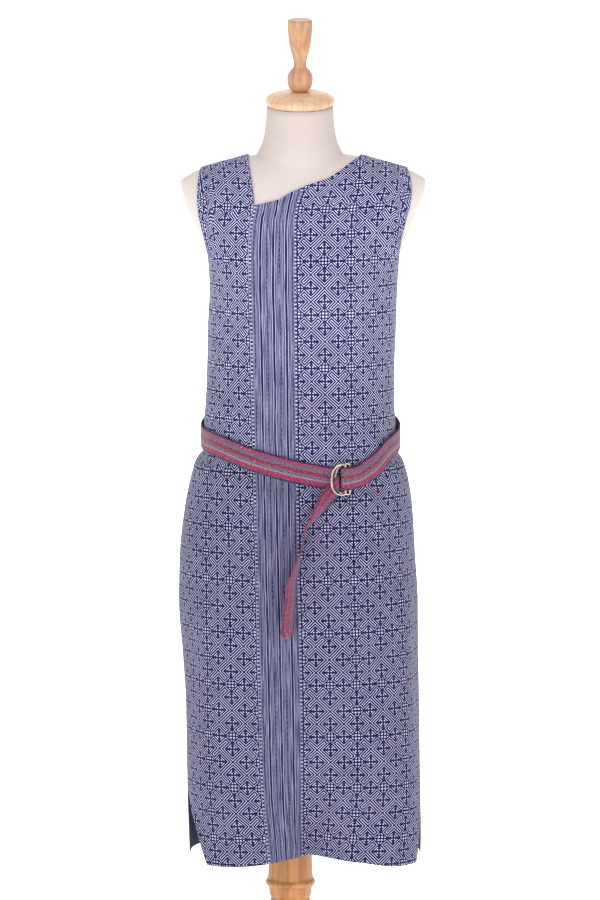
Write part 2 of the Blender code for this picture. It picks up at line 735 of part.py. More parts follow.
def belt_reach(angle):
    """The dress's outer face under the belt, at its fullest."""
    line = belt_height(angle)
    steps = (-0.5 * BELT_WIDTH, 0.0, 0.5 * BELT_WIDTH)
    return max(dress_radius(angle, line + step) for step in steps)


@lru_cache(maxsize=1)
def belt_trail():
    """(length, place, angle) at each degree round the dress, from the buckle."""
    trail = []
    length = 0.0
    for i in range(361):
        angle = BUCKLE_ANGLE + i
        reach = belt_reach(angle)
        turn = math.radians(angle)
        place = Vector((reach * math.sin(turn), -reach * math.cos(turn), 0.0))
        if trail:
            length += (place - trail[-1][1]).length
        trail.append((length, place, angle))
    return trail


def belt_place(along, lift):
    """A place on the belt's line, lifted off the dress, with its angle,
    its outward direction and the direction of its width."""
    trail = belt_trail()
    along = along % trail[-1][0]
    i = 0
    while trail[i + 1][0] < along:
        i += 1
    before, after = trail[i], trail[i + 1]
    share = (along - before[0]) / (after[0] - before[0])
    tangent = (trail[(i + 3) % 360][1] - trail[(i - 2) % 360][1]).normalized()
    outward = Vector((tangent.y, -tangent.x, 0.0))
    angle = mix(before[2], after[2], share)
    place = before[1].lerp(after[1], share) + outward * lift
    rise = (belt_height(angle + 2.0) - belt_height(angle - 2.0))
    run = trail[(i + 3) % 360][1] - trail[(i - 1) % 360][1]
    width = (Vector((0.0, 0.0, 1.0)) - tangent * rise / run.length).normalized()
    return placed(place.x, place.y, belt_height(angle)), angle, outward, width


def belt_route():
    """(along, lift) of the belt's middle, from its sewn-down end to the rings."""
    length = belt_trail()[-1][0]
    middle = FOLD_LIFT + FOLD_RADIUS
    route = list(SEWN_END)
    for turn in (-60.0, -30.0, 0.0, 30.0, 60.0):
        side = math.radians(turn)
        route.append((-FOLD_RADIUS * math.cos(side), middle + FOLD_RADIUS * math.sin(side)))
    route += OVER_RINGS
    start, end = FREE_START, length + STRAP_END
    for i in range(BELT_STATIONS + 1):
        along = mix(start, end, i / BELT_STATIONS)
        angle = belt_place(along, 0.0)[1]
        clearance = read(BELT_LINE, "clearance", "angle", wrapped(angle))
        route.append((along, clearance + 0.5 * BELT_WALL))
    return route


def ribbon(name, collection, stations, shade):
    """A flat band through stations of (place, half of its width)."""
    grid = [[place - half, place.copy(), place + half] for place, half in stations]
    return add_sheet(name, collection, grid, BELT_WALL, 0.0, shade)


def belt_shade(name):
    return material(name, (0.42, 0.16, 0.28), 0.8)


def nickel_shade(name):
    return material(name, (0.72, 0.69, 0.64), 0.22, 1.0)


def beech_shade(name):
    return material(name, (0.83, 0.60, 0.36), 0.45)


def oiled_shade(name):
    return material(name, (0.55, 0.33, 0.17), 0.5)


def build_belt_strap(collection):
    """One band round the dress; its sewn-down end holds both rings."""
    stations = []
    for along, lift in belt_route():
        place, _, _, width = belt_place(along, lift)
        stations.append((place, width * 0.5 * BELT_WIDTH))
    return ribbon("belt_strap", collection, stations, belt_shade("belt_strap_webbing"))


def buckle_frame():
    """Middle of the front ring's bar on the dress, and its three directions."""
    place, _, outward, _ = belt_place(0.0, 0.0)
    place.z -= RING_DROP
    return place, Vector((-outward.y, outward.x, 0.0)), outward, Vector((0.0, 0.0, 1.0))


def ring_outline():
    """A D from its straight bar round its bow, as (along, rise)."""
    half = 0.5 * RING_HEIGHT
    straight = half - RING_CORNER
    points = [(0.0, mix(-straight, straight, i / 3.0)) for i in range(4)]
    for turn in (30.0, 60.0):
        side = math.radians(turn)
        points.append((-RING_CORNER * (1.0 - math.cos(side)),
                       straight + RING_CORNER * math.sin(side)))
    for i in range(17):
        turn = math.radians(90.0 - 180.0 * i / 16.0)
        out = math.cos(turn) ** RING_SQUARE
        rise = math.copysign(abs(math.sin(turn)) ** RING_SQUARE, math.sin(turn))
        points.append((-RING_CORNER - (RING_REACH - RING_CORNER) * out, half * rise))
    for turn in (60.0, 30.0):
        side = math.radians(turn)
        points.append((-RING_CORNER * (1.0 - math.cos(side)),
                       -straight - RING_CORNER * math.sin(side)))
    return points


def build_ring(name, collection, step, lift, lean, shade):
    """A wire ring; the front one leans out so that the tail passes under it."""
    origin, sideways, outward, up = buckle_frame()
    curve = bpy.data.curves.new(name, "CURVE")
    curve.dimensions = "3D"
    curve.bevel_depth = RING_WIRE
    curve.bevel_resolution = 2
    curve.materials.append(shade)
    outline = ring_outline()
    spline = curve.splines.new("POLY")
    spline.points.add(len(outline) - 1)
    slope = math.tan(math.radians(lean))
    for point, (along, rise) in zip(spline.points, outline):
        place = origin + sideways * (along + step) + up * rise + outward * (lift - along * slope)
        point.co = (*place, 1.0)
    spline.use_cyclic_u = True
    ring = bpy.data.objects.new(name, curve)
    collection.objects.link(ring)
    return ring


def build_rings(collection):
    build_ring("belt_ring_front", collection, 0.0, FRONT_RING_LIFT, RING_LEAN,
               nickel_shade("nickel_wire_front"))
    build_ring("belt_ring_rear", collection, RING_STEP, REAR_RING_LIFT, 0.0,
               nickel_shade("nickel_wire_rear"))


def tail_stations():
    """Places and half widths down the tail, which follows the skirt's front."""
    origin, sideways, outward, up = buckle_frame()
    stations = []
    for row in TAIL:
        place = origin + sideways * row.along + up * row.rise
        x = place.x - FORM_SHIFT
        turn = angle_across(x, place.z, "front")
        skirt = -dress_radius(turn, place.z) * math.cos(math.radians(turn))
        past_rings = ease((-row.rise - RING_DROP) / (0.6 * RING_HEIGHT))
        out = past_rings * (skirt - place.y) / outward.y
        lean, twist = math.radians(row.lean), math.radians(row.twist)
        place += outward * (row.lift + out + 0.5 * row.width * math.sin(twist))
        width = (up * math.cos(lean) - sideways * math.sin(lean)) * math.cos(twist)
        width += outward * math.sin(twist)
        stations.append((place, width * 0.5 * row.width))
    return stations


def build_belt_tail(collection):
    """The free end: it turns back under the front ring and hangs, twisted."""
    return ribbon("belt_tail", collection, tail_stations(), belt_shade("belt_tail_webbing"))


def build_belt_fringe(collection):
    """Short frayed threads, fused into one narrow strip under the tail's end."""
    stations = tail_stations()
    end, half = stations[-1]
    down = (end - stations[-2][0]).normalized()
    across = half.normalized()
    across = (across - down * across.dot(down)).normalized()
    thick = down.cross(across)
    cells = 2 * FRINGE_STRANDS - 1
    bm = bmesh.new()
    bmesh.ops.create_grid(bm, x_segments=cells, y_segments=1, size=0.5)
    bmesh.ops.scale(bm, vec=(BELT_WIDTH, BELT_WALL, 1.0), verts=bm.verts)
    top = bmesh.ops.extrude_face_region(bm, geom=bm.faces[:])
    moved = [part for part in top["geom"] if isinstance(part, bmesh.types.BMVert)]
    bmesh.ops.translate(bm, vec=(0.0, 0.0, FRINGE_BACKING), verts=moved)
    bmesh.ops.recalc_face_normals(bm, faces=bm.faces)
    bm.faces.ensure_lookup_table()
    ends = [face for face in bm.faces if face.calc_center_median().z > 0.99 * FRINGE_BACKING]
    ends.sort(key=lambda face: face.calc_center_median().x)
    strands = bmesh.ops.extrude_discrete_faces(bm, faces=ends[::2])["faces"]
    for number, strand in enumerate(strands):
        middle = strand.calc_center_median()
        length = (FRINGE_LENGTH - FRINGE_BACKING) * (0.86 + 0.14 * math.cos(2.4 * number))
        narrow = Matrix.Translation(middle) @ Matrix.Scale(0.45, 4) @ Matrix.Translation(-middle)
        sway = 0.0007 * math.sin(1.7 * number)
        for vert in strand.verts:
            vert.co = narrow @ vert.co + Vector((sway, sway, length))
    axes = Matrix((across, thick, down)).transposed().to_4x4()
    bmesh.ops.transform(bm, matrix=Matrix.Translation(end + down * SEAM_GAP) @ axes, verts=bm.verts)
    bmesh.ops.recalc_face_normals(bm, faces=bm.faces)
    return add_bmesh("belt_fringe", collection, bm, belt_shade("belt_fringe_threads"))


def form_radius(angle, z):
    """The form's level section: body and neck, run smoothly together."""
    turn = math.radians(angle)
    across, forward = math.sin(turn), abs(math.cos(turn))
    face = "front" if math.cos(turn) >= 0.0 else "back"
    near, far = 0.0, section_radius(FORM_SECTIONS, angle, z)
    for _ in range(30):
        middle = 0.5 * (near + far)
        depth = section_depth(FORM_SECTIONS, middle * across, z, face, 0.0)
        if depth > middle * forward + 1e-7:
            near = middle
        else:
            far = middle
    neck = read(NECK_SECTIONS, "radius", "height", z)
    neck += read(NECK_SECTIONS, "flare", "height", z) * across ** 6
    overlap = max(NECK_BLEND - abs(near - neck), 0.0)
    return max(near, neck) + overlap ** 2 / (4.0 * NECK_BLEND)


def form_ring(z, tilt):
    """One ring of places; they lie closer where the shoulders run out."""
    aspect = form_radius(90.0, z) / form_radius(0.0, z)
    ring = []
    for i in range(FORM_SIDES):
        even = math.radians(360.0 * i / FORM_SIDES)
        angle = math.degrees(math.atan2(aspect * math.sin(even), math.cos(even)))
        reach = form_radius(angle, z)
        turn = math.radians(angle)
        y = -reach * math.cos(turn)
        ring.append(placed(reach * math.sin(turn), y, z + y * math.tan(math.radians(tilt))))
    return ring


def build_form(collection):
    """The limbless body, from its flat underside to the leaning neck plate."""
    bm = bmesh.new()
    rings = [form_ring(z, 0.0) for z in FORM_LEVELS]
    rings.append(form_ring(NECK_TOP, NECK_TILT))
    points = [[bm.verts.new(place) for place in ring] for ring in rings]
    for low, high in zip(points, points[1:]):
        for i in range(FORM_SIDES):
            after = (i + 1) % FORM_SIDES
            bm.faces.new((low[i], low[after], high[after], high[i]))
    bm.faces.new(list(reversed(points[0])))
    bm.faces.new(points[-1])
    shade = material("linen_jersey", (0.86, 0.80, 0.77), 0.9)
    return add_bmesh("form_torso", collection, bm, shade, 50.0)


def build_stand(collection):
    """Round base, turned column, and the pole up into the form."""
    add_turned("stand_column", collection, COLUMN_PROFILE, oiled_shade("oiled_beech_column"), 28)
    add_turned("stand_base", collection, BASE_PROFILE, oiled_shade("oiled_beech_base"), 48)
    low, high = COLUMN_TOP + REST_GAP, FORM_LEVELS[0] - REST_GAP
    bpy.ops.mesh.primitive_cylinder_add(
        vertices=20, radius=POLE_RADIUS, depth=high - low, location=(0.0, 0.0, 0.5 * (low + high)))
    pole = bpy.context.object
    pole.name = "stand_pole"
    pole.data.materials.append(oiled_shade("oiled_beech_pole"))
    for holder in list(pole.users_collection):
        holder.objects.unlink(pole)
    collection.objects.link(pole)


def build_cap(collection):
    """The neck plate's dome and the knob on it, both leaning to the front."""
    lean = Matrix.Rotation(math.radians(NECK_TILT), 4, "X")
    foot = placed(0.0, 0.0, NECK_TOP) + lean @ Vector((0.0, 0.0, REST_GAP))
    add_turned("form_cap", collection, CAP_PROFILE, beech_shade("pale_beech_cap"), 32,
               NECK_TILT, foot)
    add_turned("form_finial", collection, FINIAL_PROFILE, beech_shade("pale_beech_finial"), 24,
               NECK_TILT, foot)


def main():
    for item in list(bpy.data.objects):
        bpy.data.objects.remove(item, do_unlink=True)
    collection = bpy.data.collections.new(PART_NAME)
    bpy.context.scene.collection.children.link(collection)
    build_front_right(collection)
    build_front_left(collection)
    build_back(collection)
    build_belt_strap(collection)
    build_belt_tail(collection)
    build_belt_fringe(collection)
    build_rings(collection)
    build_form(collection)
    build_cap(collection)
    build_stand(collection)


main()
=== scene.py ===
import math
import bpy
import numpy as np
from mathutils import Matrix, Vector


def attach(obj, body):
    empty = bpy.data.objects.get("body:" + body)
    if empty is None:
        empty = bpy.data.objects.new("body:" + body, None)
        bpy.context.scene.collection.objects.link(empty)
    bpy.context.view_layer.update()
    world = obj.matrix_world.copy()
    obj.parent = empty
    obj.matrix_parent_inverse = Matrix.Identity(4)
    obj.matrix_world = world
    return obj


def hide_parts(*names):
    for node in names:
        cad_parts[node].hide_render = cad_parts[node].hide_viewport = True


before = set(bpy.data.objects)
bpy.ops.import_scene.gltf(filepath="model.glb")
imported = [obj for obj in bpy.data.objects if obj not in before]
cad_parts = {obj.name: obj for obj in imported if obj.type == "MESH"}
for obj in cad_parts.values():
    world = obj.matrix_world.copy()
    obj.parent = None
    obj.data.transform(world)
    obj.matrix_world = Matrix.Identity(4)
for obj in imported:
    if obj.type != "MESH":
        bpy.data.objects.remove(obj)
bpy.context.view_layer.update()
for spare in ("Cube", "Light", "Camera"):
    if spare in bpy.data.objects:
        bpy.data.objects.remove(bpy.data.objects[spare], do_unlink=True)
print("stage: the packed dress, belt, form and stand are in")

# Metres; the front faces -Y. Angles go round the dress in degrees from the
# middle of its front, positive towards +X.
formMiddle = 0.015


def makeTable(columns, rows):
    rows = sorted(rows)
    return {name: np.array([row[i] for row in rows]) for i, name in enumerate(columns)}


def slopesOf(places, values):
    steps = np.diff(places)
    rises = np.diff(values) / steps
    slopes = np.concatenate(([rises[0]], np.zeros(len(rises) - 1), [rises[-1]]))
    for i in range(1, len(rises)):
        before, after = rises[i - 1], rises[i]
        if before * after > 0.0:
            first = 2.0 * steps[i] + steps[i - 1]
            second = steps[i] + 2.0 * steps[i - 1]
            slopes[i] = (first + second) / (first / before + second / after)
    return slopes


def readTable(table, column, at, key="height"):
    places, values = table[key], table[column]
    slopes = slopesOf(places, values)
    at = np.clip(np.asarray(at, float), places[0], places[-1])
    i = np.clip(np.searchsorted(places, at) - 1, 0, len(places) - 2)
    step = places[i + 1] - places[i]
    t = (at - places[i]) / step
    start = (1 + 2 * t) * (1 - t) ** 2 * values[i] + t * (1 - t) ** 2 * step * slopes[i]
    end = t * t * (3 - 2 * t) * values[i + 1] + t * t * (t - 1) * step * slopes[i + 1]
    return start + end


def mix(first, second, share):
    return first + (second - first) * share


def ease(value):
    value = np.clip(value, 0.0, 1.0)
    return value * value * (3.0 - 2.0 * value)


def wrapped(angle):
    return (np.asarray(angle) + 180.0) % 360.0 - 180.0


sectionColumns = ("height", "left", "right", "front", "back", "square")
dressSections = makeTable(sectionColumns, [
    (1.400, 0.1870, 0.1970, 0.0905, 0.0975, 2.30),
    (1.350, 0.1855, 0.1950, 0.0960, 0.1040, 2.30),
    (1.300, 0.1705, 0.1785, 0.1065, 0.1135, 2.30),
    (1.260, 0.1530, 0.1625, 0.1155, 0.1155, 2.30),
    (1.222, 0.1400, 0.1510, 0.1240, 0.1145, 2.30),
    (1.190, 0.1385, 0.1490, 0.1290, 0.1115, 2.30),
    (1.135, 0.1411, 0.1473, 0.1270, 0.1075, 2.30),
    (1.060, 0.1429, 0.1448, 0.1225, 0.1035, 2.30),
    (1.005, 0.1455, 0.1450, 0.1195, 0.1025, 2.30),
    (0.965, 0.1478, 0.1470, 0.1190, 0.1050, 2.30),
    (0.930, 0.1595, 0.1575, 0.1220, 0.1120, 2.30),
    (0.893, 0.1696, 0.1675, 0.1270, 0.1210, 2.30),
    (0.856, 0.1770, 0.1728, 0.1310, 0.1270, 2.35),
    (0.781, 0.1854, 0.1777, 0.1350, 0.1310, 2.40),
    (0.706, 0.1872, 0.1826, 0.1340, 0.1300, 2.50),
    (0.631, 0.1820, 0.1834, 0.1290, 0.1260, 2.60),
    (0.555, 0.1770, 0.1850, 0.1230, 0.1210, 2.70),
    (0.480, 0.1757, 0.1860, 0.1180, 0.1170, 2.80),
    (0.404, 0.1750, 0.1872, 0.1130, 0.1140, 2.95),
    (0.340, 0.1731, 0.1885, 0.1090, 0.1120, 3.10),
    (0.290, 0.1715, 0.1875, 0.1070, 0.1110, 3.20),
])
formSections = makeTable(sectionColumns, [
    (1.400, 0.1838, 0.1938, 0.0870, 0.0940, 2.30),
    (1.350, 0.1823, 0.1921, 0.0925, 0.1005, 2.30),
    (1.300, 0.1670, 0.1750, 0.1030, 0.1100, 2.30),
    (1.260, 0.1490, 0.1585, 0.1120, 0.1120, 2.30),
    (1.222, 0.1360, 0.1470, 0.1200, 0.1105, 2.30),
    (1.190, 0.1335, 0.1440, 0.1240, 0.1070, 2.30),
    (1.135, 0.1320, 0.1385, 0.1180, 0.1010, 2.25),
    (1.060, 0.1260, 0.1285, 0.1050, 0.0920, 2.20),
    (1.005, 0.1270, 0.1270, 0.1010, 0.0900, 2.20),
    (0.965, 0.1320, 0.1320, 0.1020, 0.0930, 2.20),
    (0.930, 0.1380, 0.1380, 0.1040, 0.0970, 2.20),
    (0.893, 0.1450, 0.1440, 0.1080, 0.1040, 2.20),
    (0.856, 0.1520, 0.1500, 0.1130, 0.1120, 2.20),
    (0.781, 0.1590, 0.1560, 0.1170, 0.1170, 2.20),
    (0.706, 0.1570, 0.1550, 0.1140, 0.1140, 2.20),
    (0.690, 0.1500, 0.1480, 0.1070, 0.1070, 2.20),
])

shoulder = {
    "middle": 0.006,
    "roundFrom": 1.250,
    "roundPower": 2.2,
    "clothLift": 0.0029,
    "line": makeTable(("across", "height"), [
        (0.000, 1.3980), (0.085, 1.3925), (0.110, 1.3858), (0.146, 1.3762),
        (0.160, 1.3715), (0.174, 1.3650), (0.184, 1.3585), (0.198, 1.3460)]),
}


def shoulderHeight(x, lift):
    across = np.abs(np.asarray(x) - shoulder["middle"])
    return readTable(shoulder["line"], "height", across, "across") + lift


def shoulderRounding(x, z, lift):
    start, power = shoulder["roundFrom"], shoulder["roundPower"]
    part = np.clip((z - start) / (shoulderHeight(x, lift) - start), 0.0, 1.0)
    return (1.0 - part ** power) ** (1.0 / power)


def sectionRadius(rows, angle, z):
    across, forward = np.sin(np.radians(angle)), np.cos(np.radians(angle))
    half = np.where(across >= 0, readTable(rows, "right", z), readTable(rows, "left", z))
    deep = np.where(forward >= 0, readTable(rows, "front", z), readTable(rows, "back", z))
    power = readTable(rows, "square", z)
    return ((np.abs(across) / half) ** power + (np.abs(forward) / deep) ** power) ** (-1 / power)


def sectionDepth(rows, x, z, face, lift):
    half = np.where(x >= 0, readTable(rows, "right", z), readTable(rows, "left", z))
    power = readTable(rows, "square", z)
    part = np.minimum(np.abs(x) / half, 1.0)
    return (readTable(rows, face, z) * (1 - part ** power) ** (1 / power)
            * shoulderRounding(x, z, lift))


# Soft folds of the skirt: angle, width, depth, top, full, foot
skirtFolds = [
    (12.0, 17.0, -0.036, 0.520, 0.300, 0.100),
    (-47.0, 13.0, 0.007, 0.640, 0.320, 0.100),
    (57.0, 13.0, 0.008, 0.680, 0.320, 0.100),
    (-70.0, 8.0, -0.004, 0.820, 0.600, 0.340),
    (34.0, 9.0, -0.004, 0.850, 0.640, 0.450),
    (-20.0, 9.0, 0.003, 0.850, 0.740, 0.540),
    (78.0, 8.0, -0.005, 0.840, 0.620, 0.380),
    (180.0, 15.0, -0.014, 0.860, 0.340, 0.100),
    (-149.0, 13.0, 0.009, 0.800, 0.360, 0.100),
    (151.0, 12.0, 0.010, 0.760, 0.380, 0.100),
    (118.0, 9.0, -0.007, 0.840, 0.500, 0.240),
    (-121.0, 10.0, -0.006, 0.800, 0.460, 0.240),
]

beltLine = makeTable(("angle", "height", "clearance"), [
    (-225.0, 0.9920, 0.0030), (-180.0, 1.0040, 0.0008), (-135.0, 0.9900, 0.0018),
    (-90.0, 0.9650, 0.0030), (-60.0, 0.9560, 0.0014), (-30.0, 0.9360, 0.0010),
    (0.0, 0.9200, 0.0012), (28.5, 0.9110, 0.0010), (38.0, 0.9132, 0.0009),
    (48.5, 0.9240, 0.0020), (65.0, 0.9495, 0.0034), (90.0, 0.9640, 0.0055),
    (135.0, 0.9900, 0.0030), (180.0, 1.0040, 0.0008), (225.0, 0.9900, 0.0018)])
waist = {"hollow": 0.0055, "half": 0.034, "blouse": 0.0030, "blouseRise": 0.050}


def foldOffset(angle, z):
    total = 0.0
    for middle, width, depth, top, full, foot in skirtFolds:
        turn = wrapped(angle - middle) / width
        held = np.minimum(ease((top - z) / (top - full)), ease((z - foot) / (full - foot)))
        total = total + depth * held * np.exp(-turn * turn)
    return total


def beltHeight(angle):
    return readTable(beltLine, "height", wrapped(angle), "angle")


def beltHold(angle, z):
    return np.exp(-((z - beltHeight(angle)) / waist["half"]) ** 6)


def dressRadius(angle, z):
    line = beltHeight(angle)
    facing = np.abs(np.cos(np.radians(angle)))
    full = np.exp(-((z - line - waist["blouseRise"]) / (0.6 * waist["half"])) ** 2)
    loose = (sectionRadius(dressSections, angle, z) + foldOffset(angle, z)
             + waist["blouse"] * facing * full)
    held = sectionRadius(dressSections, angle, line) - waist["hollow"] * facing
    return mix(loose, held, beltHold(angle, z))


def angleAcross(x, z, face):
    x, z = np.broadcast_arrays(np.asarray(x, float), np.asarray(z, float))
    side = np.where(x < 0, -1.0, 1.0)
    near, far = np.zeros(x.shape), np.full(x.shape, 90.0)
    for _ in range(22):
        middle = 0.5 * (near + far)
        turn = middle if face == "front" else 180.0 - middle
        inside = dressRadius(side * turn, z) * np.sin(np.radians(turn)) < np.abs(x)
        near = np.where(inside, middle, near)
        far = np.where(inside, far, middle)
    return side * near


# The cut of the dress: its edges, its openings and how finely it is laid out
dressCut = {
    "wall": 0.0010,
    "seamGap": 0.0001,
    "sideGap": 0.0002,
    "armpit": 1.222,
    "backHem": 0.307,
    "neckLeft": -0.0790,
    "neckRight": 0.0935,
    "notchHeight": 1.3214,
    "frontSeam": makeTable(("height", "across"), [
        (1.3945, -0.0790), (1.380, -0.0770), (1.350, -0.0720), (1.321, -0.0693),
        (1.300, -0.0750), (1.256, -0.0781), (1.150, -0.0765), (1.030, -0.0739),
        (0.900, -0.0710), (0.788, -0.0680), (0.660, -0.0658), (0.573, -0.0638),
        (0.430, -0.0596), (0.330, -0.0500), (0.290, -0.0470)]),
    "bandRight": makeTable(("height", "across"), [
        (1.400, 0.0100), (1.345, 0.0060), (1.320, -0.0015), (1.295, -0.0045),
        (1.256, -0.0046), (1.150, -0.0038), (1.030, -0.0030), (0.900, -0.0015),
        (0.788, 0.0000), (0.660, 0.0030), (0.573, 0.0046), (0.430, 0.0058), (0.290, 0.0060)]),
    "leftArmhole": makeTable(("height", "across"), [
        (1.222, -0.1395), (1.242, -0.1405), (1.261, -0.1442), (1.289, -0.1507),
        (1.311, -0.1552), (1.332, -0.1563), (1.357, -0.1553), (1.377, -0.1516)]),
    "rightArmhole": makeTable(("height", "across"), [
        (1.222, 0.1505), (1.242, 0.1512), (1.257, 0.1530), (1.273, 0.1560),
        (1.296, 0.1612), (1.321, 0.1677), (1.341, 0.1699), (1.357, 0.1690),
        (1.3725, 0.1645)]),
    "frontNeckline": makeTable(("across", "height"), [
        (-0.0693, 1.3214), (-0.0530, 1.3255), (-0.0331, 1.3305), (-0.0142, 1.3410),
        (0.0160, 1.3535), (0.0392, 1.3608), (0.0565, 1.3700), (0.0712, 1.3805),
        (0.0859, 1.3905), (0.0935, 1.3945)]),
    "backNeckline": makeTable(("across", "height"), [
        (-0.0790, 1.3945), (-0.0640, 1.3790), (-0.0380, 1.3630), (0.0070, 1.3570),
        (0.0520, 1.3630), (0.0790, 1.3790), (0.0935, 1.3945)]),
    "slitOpening": makeTable(("height", "left", "right"), [
        (0.290, 34.0, 21.0), (0.360, 23.0, 13.0), (0.430, 9.0, 4.0), (0.490, 0.0, 0.0),
        (0.520, 0.0, 0.0)]),
    "frontHem": makeTable(("angle", "height"), [
        (-90.0, 0.3080), (-62.0, 0.3080), (-45.0, 0.3085), (-28.0, 0.3125), (-5.0, 0.3200),
        (18.0, 0.3210), (42.0, 0.3150), (58.0, 0.3075), (75.0, 0.3070), (90.0, 0.3080)]),
    "lowRows": 236,
    "yokeRows": 52,
    "columns": {"left": 104, "right": 56, "back": 150},
}
print("stage: the cut of the dress is laid out")


def seamAcross(side, z):
    return readTable(dressCut["frontSeam"], "across", z) + 0.5 * side * dressCut["seamGap"]


def dressPlace(angle, z, shift):
    reach, turn = dressRadius(angle, z), np.radians(angle)
    return np.stack([reach * np.sin(turn) + formMiddle, shift - reach * np.cos(turn), z], axis=-1)


def lowFront(side, columns):
    share = np.linspace(0.0, 1.0, columns + 1)[None, :]
    up = np.linspace(0.0, 1.0, dressCut["lowRows"] + 1)[:, None]
    angle = 45.0 * side * share + 0.0 * up
    z = mix(dressCut["backHem"], dressCut["armpit"], up) + 0.0 * share
    for _ in range(3):
        seam = angleAcross(seamAcross(side, z), z, "front")
        slit = readTable(dressCut["slitOpening"], "left" if side < 0 else "right", z)
        angle = mix(seam, side * (90.0 - slit), share)
        hem = readTable(dressCut["frontHem"], "height", angle, "angle")
        z = mix(hem, dressCut["armpit"], up)
    return dressPlace(angle, z, -0.5 * dressCut["sideGap"]), angle


def yokeRow(part, face, first, last, topOf, columns, corners):
    # first and last are (edge line, height of its top)
    low = dressCut["armpit"]
    ends = [mix(low, first[1], part), mix(low, last[1], part)]
    start, end = float(first[0](ends[0])), float(last[0](ends[1]))
    middleZ = min(0.5 * (ends[0] + ends[1]), low + 0.1)
    turns = [float(angleAcross(x, middleZ, face)) for x in (start, end)]
    turn = np.linspace(turns[0], turns[1], columns + 1)
    full = turn if face == "front" else np.where(turn < 0, -180.0, 180.0) - turn
    outs = dressRadius(full, middleZ) * np.sin(np.radians(full))
    shares = (outs - outs[0]) / (outs[-1] - outs[0])
    columnAt = np.linspace(0.0, 1.0, columns + 1)
    stopShare = [0.0] + [float(np.interp(c, columnAt, shares)) for c, x in corners] + [1.0]
    stopPlace = [0.0] + [(x - start) / (end - start) for c, x in corners] + [1.0]
    x = mix(start, end, mix(shares, np.interp(shares, stopShare, stopPlace), part ** 2))
    z = mix(low, topOf(x), part)
    depth = sectionDepth(dressSections, x, z, face, shoulder["clothLift"])
    y = (-1.0 if face == "front" else 1.0) * (depth + 0.5 * dressCut["sideGap"])
    return np.stack([x + formMiddle, y, z], axis=-1)


def shoulderTop(x):
    return shoulderHeight(x, shoulder["clothLift"])


def frontLeftTop(x):
    neck = readTable(dressCut["frontNeckline"], "height", x, "across")
    return np.where(x >= dressCut["neckRight"], shoulderTop(x), np.minimum(neck, shoulderTop(x)))


def backTop(x):
    neck = readTable(dressCut["backNeckline"], "height", x, "across")
    beside = (x <= dressCut["neckLeft"]) | (x >= dressCut["neckRight"])
    return np.where(beside, shoulderTop(x), np.minimum(neck, shoulderTop(x)))


def armholeEnd(name):
    table = dressCut[name]
    return (lambda z: readTable(table, "across", z)), float(shoulderTop(table["across"][-1]))


def yokeParts():
    return np.sin(np.linspace(0.0, 0.5 * np.pi, dressCut["yokeRows"] + 1))[1:]


def frontLeftGrid(columns):
    low, _ = lowFront(1, columns)
    seam = (lambda z: seamAcross(1, z), dressCut["notchHeight"])
    corners = ((12 / 21, 0.0820), (13 / 21, 0.0890), (14 / 21, 0.0935))
    rows = [yokeRow(part, "front", seam, armholeEnd("rightArmhole"), frontLeftTop, columns, corners)
            for part in yokeParts()]
    return np.concatenate([low, np.array(rows)])


def frontRightGrid(columns):
    low, _ = lowFront(-1, columns)
    seam = (lambda z: seamAcross(-1, z), float(shoulderTop(dressCut["neckLeft"])))
    rows = [yokeRow(part, "front", seam, armholeEnd("leftArmhole"), shoulderTop, columns, ())
            for part in yokeParts()]
    return np.concatenate([low, np.array(rows)])


def backGrid(columns):
    share = np.linspace(0.0, 1.0, columns + 1)[None, :]
    up = np.linspace(0.0, 1.0, dressCut["lowRows"] + 1)[:, None]
    angle = 90.0 + 180.0 * share + 0.0 * up
    z = mix(dressCut["backHem"], dressCut["armpit"], up) + 0.0 * share
    low = dressPlace(angle, z, 0.5 * dressCut["sideGap"])
    corners = ((7 / 28, 0.0935), (8 / 28, 0.0900), (9 / 28, 0.0835), (10 / 28, 0.0735),
               (17 / 28, -0.0590), (18 / 28, -0.0690), (19 / 28, -0.0755), (20 / 28, -0.0790))
    rows = [yokeRow(part, "back", armholeEnd("rightArmhole"), armholeEnd("leftArmhole"),
                    backTop, columns, corners) for part in yokeParts()]
    return np.concatenate([low, np.array(rows)])


# The flat cloth: where down is nought, and the pitch of the drawn lattice
flatCloth = {"zeroAt": 1.220, "columnPitch": 0.0206, "rowPitch": 0.02017, "backShift": 5.5}


def depthAcross(x, z, face):
    # So high a lift leaves the rounding of the shoulder out of the measure
    return sectionDepth(dressSections, x, np.minimum(z, 1.40), face, 0.3)


